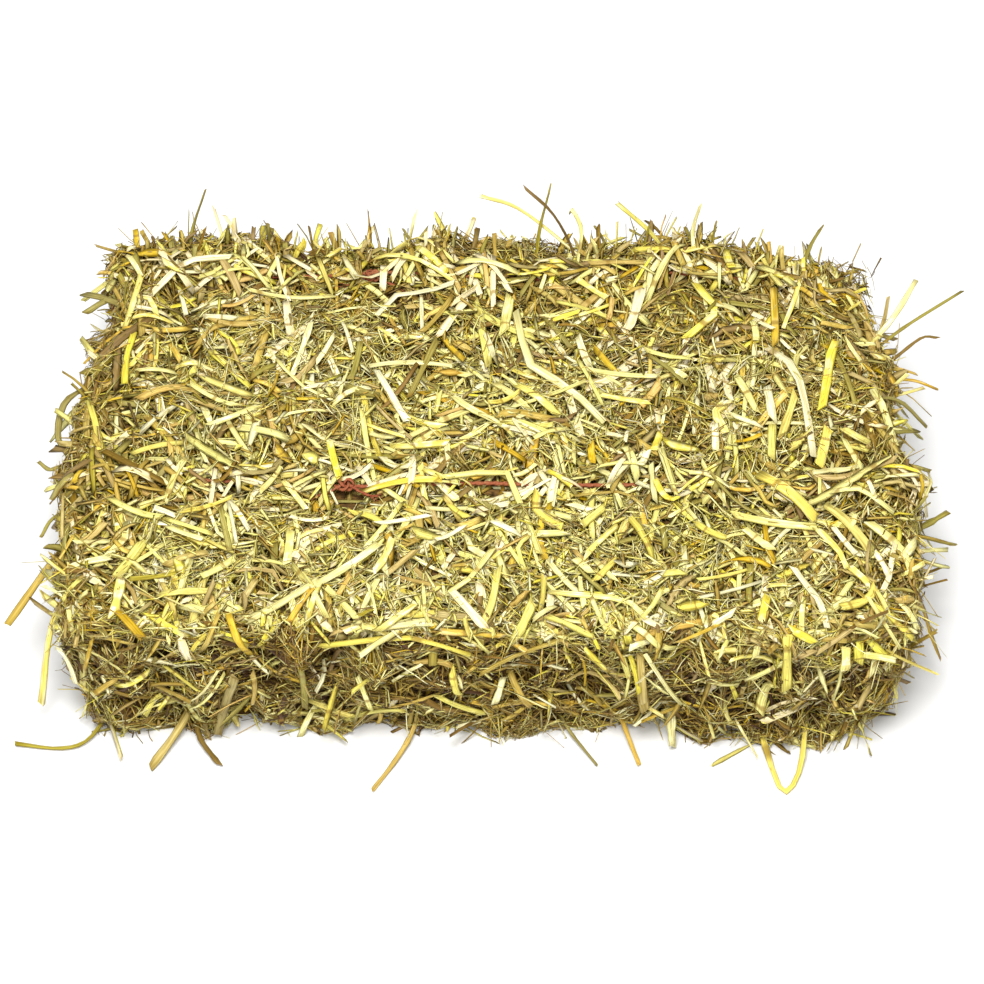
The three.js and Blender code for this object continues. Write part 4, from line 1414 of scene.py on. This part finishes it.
def foot_pokes(parts, face):
    """Straws that lie out over the floor from under a face."""
    density, reach = FOOT_POKES[face.name]
    count = int(density * 2 * face.half[0] / LENGTH_UNIT)
    a = rng.uniform(-1, 1, count) * (face.half[0] - FOOT_INSET)
    b = -face.half[1] + rng.uniform(*FOOT_BAND, count)
    roots, _ = face.place(a, b, np.full(count, -ROOT_DEPTHS["foot"]))
    turn = rng.normal(0, FOOT_TURN, count)[:, None]
    slope = rng.uniform(*FOOT_SLOPES, count)[:, None]
    headings = unit(np.cos(turn) * face.out + np.sin(turn) * face.across + slope * UPWARD)
    lengths = skewed(reach, count)
    normals = np.repeat(UPWARD[None], count, axis=0)
    add_pokes(parts, roots, normals, headings, lengths, np.full(count, SAGS["foot"]), FOOT_CHANCES)


# The mats on the six faces

def make_face(face):
    """Lays a face's mat of straw and makes its pieces."""
    face.roughen(ROUGHNESS[face.family])
    straws = Straws.join([scatter(face, recipe) for recipe in RECIPES])
    heights = settle(face, straws)
    face.level()
    parts = {name: MeshParts() for name in set(PIECE_OF_KIND.values())}
    add_laid(parts, face, straws, heights)
    if face.name == "top":
        lay_twine(face)
        covers = twine_covers(face)
        add_laid(parts, face, covers, settle(face, covers, COVER_GIVE))
        heroes = read_straws(TOP_STRAWS, lambda point: point)
        add_laid(parts, face, heroes, settle(face, heroes), HERO_RINGS)
        wisps = scatter(face, WISP_RECIPE)
        add_laid(parts, face, wisps, settle(face, wisps))
    if face.name == "front":
        heroes = read_straws(FRONT_STRAWS, lambda point: (point[0], front_arc(point[1])))
        add_laid(parts, face, heroes, settle(face, heroes), HERO_RINGS)
    if face.name in POKES:
        face_pokes(parts, face)
    for name, *settings in EDGE_POKES:
        if name == face.name:
            edge_pokes(parts, face, *settings)
    if face.name in FOOT_POKES:
        foot_pokes(parts, face)
    for name in sorted(parts):
        finish_piece(parts[name].make(f"{name}_{face.name}", STRAW), "straw", "pressed_straw")


BED_CELL = 8.0
BED_BELOW = 0.6
BED_UNEVEN = 0.4


def make_bed():
    """The sheets of packed straw below the mats."""
    points = []
    quads = []
    start = 0
    for face in FACES:
        columns = int(2 * face.half[0] / BED_CELL)
        rows = int(2 * face.half[1] / BED_CELL)
        a, b = np.meshgrid(
            np.linspace(-face.half[0], face.half[0], columns + 1),
            np.linspace(-face.half[1], face.half[1], rows + 1), indexing="ij",
        )
        ground = face.ground[face.cells(a, b)]
        uneven = rng.normal(0, BED_UNEVEN, a.shape)
        sheet, _ = face.place(a, b, ground + uneven - face.depth - BED_BELOW)
        points.append(sheet.reshape(-1, 3))
        index = start + np.arange(a.size).reshape(a.shape)
        corners = [index[:-1, :-1], index[1:, :-1], index[1:, 1:], index[:-1, 1:]]
        quads.append(np.stack(corners, axis=-1).reshape(-1, 4))
        start += a.size
    points = np.concatenate(points)
    points[:, 2] = off_floor(points[:, 2])
    mesh = bpy.data.meshes.new("straw_bed")
    mesh.from_pydata((points * MM).tolist(), [], np.concatenate(quads).tolist())
    mesh.materials.append(BED)
    piece = bpy.data.objects.new("straw_bed", mesh)
    bpy.context.collection.objects.link(piece)
    finish_piece(piece, "straw", "pressed_straw")


# Loose stalks that stick out: width, tone, kind, and points from root to tip, as in the CAD model
STRAY_STALKS = {
    "back": [
        (2.6, "olive", "stalk", (-161, 114, 90), (-158, 123, 108), (-150, 126, 133)),
        (1.8, "brown", "stalk", (44, 111, 92), (40, 117, 106), (30, 119, 128), (16, 120, 145)),
        (2.2, "olive", "stalk", (22, 114, 92), (24, 122, 112), (29, 125, 140)),
        (2.0, "yellow", "stalk", (52, 116, 90), (15, 129, 118), (-7, 131, 127)),
        (2.2, "pale", "stalk", (44, 104, 90), (44, 110, 99), (46, 124, 109), (41, 128, 120), (40, 131, 115)),
        (3.0, "yellow", "stalk", (94, 110, 92), (84, 121, 108), (64, 125, 129)),
        (2.6, "pale", "stalk", (108, 110, 90), (104, 121, 110), (107, 125, 128)),
        (2.4, "olive", "stalk", (158, 98, 92), (164, 112, 108), (170, 117, 121)),
    ],
    "right": [
        (2.0, "olive", "stalk", (196, 58, 92), (214, 72, 96), (244, 95, 97)),
        (3.0, "pale", "stalk", (192, 56, 96), (207, 74, 101), (219, 94, 106)),
        (1.8, "brown", "stalk", (196, 44, 90), (209, 54, 94), (221, 63, 97), (229, 63, 97)),
        (2.6, "amber", "stalk", (198, 46, 82), (215, 42, 88), (228, 36, 88)),
        (3.0, "olive", "stalk", (176, 17, 97), (190, 19, 101), (206, 20, 98), (220, 11, 89)),
        (5.0, "brown", "leaf", (188, 0, 95), (200, -10, 100), (210, -20, 93), (218, -26, 84), (222, -26, 82)),
        (3.4, "olive", "stalk", (196, -52, 74), (213, -46, 78), (228, -37, 80)),
        (3.4, "olive", "stalk", (196, -40, 70), (214, -44, 70), (232, -48, 68)),
        (1.8, "brown", "stalk", (198, -66, 58), (215, -60, 58), (228, -54, 58)),
        (5.0, "amber", "leaf", (196, -76, 84), (211, -84, 72), (219, -92, 52), (224, -100, 43)),
    ],
    "left": [
        (3.5, "yellow", "stalk", (-196, -94, 94), (-212, -106, 72), (-222, -118, 22)),
        (2.0, "olive", "stalk", (-198, -20, 88), (-214, -22, 90), (-220, -24, 90), (-226, -19, 90)),
        (1.8, "olive", "stalk", (-198, -38, 82), (-216, -46, 80), (-222, -57, 78)),
        (3.6, "tan", "stalk", (-196, -50, 80), (-213, -67, 76), (-236, -99, 62)),
        (3.5, "olive", "stalk", (-203, 30, 92), (-216, 18, 92), (-218, -2, 90), (-212, -13, 88)),
    ],
    "foot": [
        (2.0, "olive", "stalk", (-190, -112, 6), (-200, -128, 3.5), (-214, -132, 1.6), (-236, -130, 2.4)),
        (2.6, "amber", "stalk", (-34, -112, 8), (-39, -126, 5), (-47, -140, 2.4), (-56, -154, 1.8)),
        (3.0, "yellow", "stalk", (136, -112, 8), (139, -126, 4), (147, -152, 2), (156, -140, 3.4),
         (160, -112, 14)),
        (1.8, "olive", "stalk", (36, -112, 9), (42, -121, 5), (55, -138, 1.8)),
        (3.0, "amber", "stalk", (66, -112, 12), (70, -122, 7), (76, -137, 2)),
        (4.0, "tan", "stalk", (-148, -112, 14), (-154, -124, 9), (-167, -143, 2.6)),
        (3.0, "brown", "stalk", (-146, -110, 6), (-144, -126, 5), (-133, -141, 2.2)),
        (5.0, "pale", "stalk", (92, -112, 24), (92, -124, 14), (93, -128, 4)),
    ],
    "rear": [
        (3.0, "yellow", "stalk", (-120, 112, 60), (-112, 126, 56), (-100, 138, 44)),
        (3.0, "amber", "stalk", (-30, 112, 30), (-36, 126, 26), (-50, 142, 14)),
        (2.4, "olive", "stalk", (70, 112, 72), (76, 126, 70), (92, 140, 66)),
        (3.0, "pale", "stalk", (130, 108, 20), (138, 124, 16), (150, 140, 3)),
        (3.0, "yellow", "stalk", (-170, 106, 40), (-180, 122, 38), (-196, 134, 30)),
    ],
}
STRAY_RINGS = 12
STRAY_FLATNESS = 0.45
STRAY_THICKEST = 1.7
STRAY_ROLL = 0.2
STRAY_TWIST = 0.5


def smooth_line(points, count):
    """Points along a smooth curve through a few points."""
    points = np.array(points, dtype=float)
    held = np.vstack([2 * points[0] - points[1], points, 2 * points[-1] - points[-2]])
    place = np.linspace(0, len(points) - 1, count)
    low = np.minimum(place.astype(int), len(points) - 2)
    part = (place - low)[:, None]
    before, start, end, after = (held[low + step] for step in range(4))
    curve = 2 * start + (end - before) * part
    curve += (2 * before - 5 * start + 4 * end - after) * part ** 2
    curve += (3 * start - before - 3 * end + after) * part ** 3
    return curve / 2


def make_strays():
    """The loose stalks, each a piece in place of its own solid."""
    for group, stalks in STRAY_STALKS.items():
        for number, (width, tone, kind, *points) in enumerate(stalks, start=1):
            section, shares, _, run = KINDS[kind]
            line = smooth_line(points, STRAY_RINGS)[None]
            normals = np.broadcast_to(UPWARD, line.shape)
            thick = min(STRAY_FLATNESS * width, STRAY_THICKEST)
            roll = rng.normal(0, STRAY_ROLL, (1, 1)) + np.linspace(0, STRAY_TWIST, STRAY_RINGS)[None, :]
            corners = sweep(
                line, normals, np.array([width]), np.array([thick]), section, run, np.ones(1), roll,
            )
            parts = MeshParts()
            parts.add(corners, draw_strips({tone: 1}, 1), shares)
            piece = parts.make(f"straw_{group}_{number}", STRAW)
            finish_piece(piece, "loose_straw", f"stray_stalk_{group}_{number}")


# Twine: two lobes twisted along the loop, a knot and two frayed tails

TWINE_CORNERS = 8
LOBE_DEPTH = 0.2
LOOP_TOP_POINTS = 15
LOOP_TOP_REACH = 190.8
LOOP_END_HEIGHTS = (84.0, 50.0, 16.0)
LOOP_FOOT_HEIGHT = 1.5
LOOP_FOOT_POINTS = 5
KNOT_POINTS = 60
KNOT_WINDS = 1.5
KNOT_LIFT = 0.55
TAIL_POINTS = 10
TAIL_STRAND_POINTS = 8
TAIL_HAIR_START = 6
TAIL_HAIRS = 6
HAIR_RADIUS = 0.3
HAIR_SPREAD = np.array([1.5, 1.8, 0.4])


def lobed_section():
    turn = np.arange(TWINE_CORNERS) * 2 * math.pi / TWINE_CORNERS
    reach = 1 - LOBE_DEPTH + LOBE_DEPTH * np.cos(2 * turn)
    return np.stack([reach * np.cos(turn), reach * np.sin(turn)], axis=1)


def loop_line(y):
    """The twine's way round the block, over the top, down the right end and back underneath."""
    slant = EDGE_RADIUS * (1 - math.sqrt(0.5)) + TWINE_SINK
    heights = (HEIGHT - slant, *LOOP_END_HEIGHTS)
    top = [
        (x, y, float(top_height(x, y)) - TWINE_SINK)
        for x in np.linspace(-LOOP_TOP_REACH, LOOP_TOP_REACH, LOOP_TOP_POINTS)
    ]
    right = [(float(end_reach(1, y, z)) - TWINE_SINK, y, z) for z in heights]
    left = [(float(end_reach(-1, y, z)) + TWINE_SINK, y, z) for z in heights]
    right_foot = (right[-1][0] - slant, y, slant)
    left_foot = (left[-1][0] + slant, y, slant)
    reach = np.linspace(right_foot[0] - slant, left_foot[0] + slant, LOOP_FOOT_POINTS)
    under = [(x, y, LOOP_FOOT_HEIGHT) for x in reach]
    return [*top, *right, right_foot, *under, left_foot, *left[::-1], top[0]]


def knot_line(x, y):
    """A closed overhand knot, as in the CAD model."""
    turn = np.linspace(0, 4 * math.pi, KNOT_POINTS, endpoint=False)
    swing = np.cos(KNOT_WINDS * turn)
    reach = KNOT_RADIUS * (2 + swing) * 0.5
    height = float(top_height(x, y)) + KNOT_LIFT * KNOT_RADIUS
    return np.stack([
        x + reach * np.cos(turn),
        y + reach * np.sin(turn),
        height + 0.5 * KNOT_RADIUS * np.sin(KNOT_WINDS * turn),
    ], axis=1)


def twine_rings(line, radius, pitch):
    """Twisted rings along a line of twine."""
    count = len(line)
    travelled = np.concatenate([[0], np.cumsum(np.linalg.norm(np.diff(line, axis=0), axis=1))])
    roll = (2 * math.pi * travelled / pitch)[None]
    normals = np.repeat([[0.0, 1.0, 0.0]], count, axis=0)[None]
    ahead = unit(np.gradient(line, axis=0))[None]
    side = unit(np.cross(ahead, normals))
    out = np.cross(side, ahead)
    section = lobed_section()
    angle_cos = np.cos(roll)[..., None, None]
    angle_sin = np.sin(roll)[..., None, None]
    across = section[None, None, :, 0, None] * angle_cos - section[None, None, :, 1, None] * angle_sin
    outward = section[None, None, :, 0, None] * angle_sin + section[None, None, :, 1, None] * angle_cos
    return line[None, :, None, :] + radius * (side[:, :, None, :] * across + out[:, :, None, :] * outward)


def make_twine(name, node, knot_x, y):
    """One loop of twine with its knot and tails."""
    parts = MeshParts()
    strip = np.zeros((1, 2))
    shares = mirrored_strip(TWINE_CORNERS)
    loop = loop_line(y)
    length = np.linalg.norm(np.diff(np.array(loop), axis=0), axis=1).sum()
    loop = worn(along_line(loop, int(length / TWINE_STEP)))
    parts.add(twine_rings(loop[:-1], TWINE_RADIUS, TWINE_PITCH), strip, shares, closed=True)
    parts.add(twine_rings(knot_line(knot_x, y), KNOT_STRAND, TWINE_PITCH), strip, shares, closed=True)
    height = float(top_height(knot_x, y))
    for side in (-1, 1):
        tail = [
            (knot_x + side, y, height + 1.5 * TWINE_RADIUS),
            (knot_x + 0.5 * side * TWINE_TAIL, y - 0.6 * TAIL_SWEEP, height + 0.2 * TWINE_RADIUS),
            (knot_x + side * TWINE_TAIL, y - TAIL_SWEEP, height - 0.4 * TWINE_RADIUS),
        ]
        line = smooth_line(tail, TAIL_POINTS)
        parts.add(twine_rings(line[:TAIL_STRAND_POINTS], KNOT_STRAND, TWINE_PITCH), strip, shares)
        for _ in range(TAIL_HAIRS):
            hair = line[TAIL_HAIR_START:].copy()
            spread = np.linspace(0, 1, len(hair))[:, None] ** 1.5
            hair += spread * rng.normal(0, 1.0, 3) * HAIR_SPREAD
            parts.add(twine_rings(hair, HAIR_RADIUS, TWINE_PITCH), strip, shares)
    finish_piece(parts.make(name, TWINE, atlas=False), "twine", node)


for each_face in FACES:
    make_face(each_face)
make_bed()
make_strays()
make_twine("red_twine_front", "twine_front", FRONT_KNOT_X, FRONT_TWINE_Y)
make_twine("red_twine_back", "twine_back", BACK_KNOT_X, BACK_TWINE_Y)


# Floor, light and camera

FLOOR_SIZE = 12.0
FLOOR_COLOUR = (0.8, 0.8, 0.8, 1.0)
FLOOR_ROUGHNESS = 0.9
WHITE = (1.0, 1.0, 1.0, 1.0)
WORLD_STRENGTH = 0.5

# Square lamps, all turned to the middle of the block: name, watts, side and place
LIGHT_TARGET = Vector((0, 0, HALF_HEIGHT * MM))
LIGHTS = [
    ("key", 18.0, 0.4, (-0.05, -0.5, 1.28)),
    ("overhead", 10.0, 1.6, (0.0, 0.1, 1.6)),
    ("fill", 8.3, 1.0, (-0.3, -1.5, 1.0)),
]


def make_stage():
    bpy.ops.mesh.primitive_plane_add(size=FLOOR_SIZE)
    floor = bpy.context.active_object
    floor.name = "floor"
    graph = Graph("pale_floor")
    graph.shader.inputs["Base Color"].default_value = FLOOR_COLOUR
    graph.shader.inputs["Roughness"].default_value = FLOOR_ROUGHNESS
    floor.data.materials.append(graph.material)


def make_light(name, energy, size, place):
    lamp = bpy.data.lights.new(name, "AREA")
    lamp.energy = energy
    lamp.size = size
    holder = bpy.data.objects.new(name, lamp)
    holder.location = place
    holder.rotation_euler = (LIGHT_TARGET - Vector(place)).to_track_quat("-Z", "Y").to_euler()
    bpy.context.collection.objects.link(holder)


def make_camera():
    lens = bpy.data.cameras.new("camera")
    lens.lens = CAMERA_LENS
    lens.sensor_width = CAMERA_SENSOR
    holder = bpy.data.objects.new("camera", lens)
    holder.location = CAMERA_PLACE
    holder.rotation_euler = Euler((math.radians(CAMERA_TILT), 0.0, math.radians(CAMERA_TURN)))
    bpy.context.collection.objects.link(holder)
    bpy.context.scene.camera = holder


def make_world():
    world = bpy.data.worlds.new("studio")
    world.use_nodes = True
    background = world.node_tree.nodes["Background"]
    background.inputs["Color"].default_value = WHITE
    background.inputs["Strength"].default_value = WORLD_STRENGTH
    bpy.context.scene.world = world


make_stage()
for light in LIGHTS:
    make_light(*light)
make_world()
bpy.context.scene.view_settings.view_transform = "Standard"
make_camera()
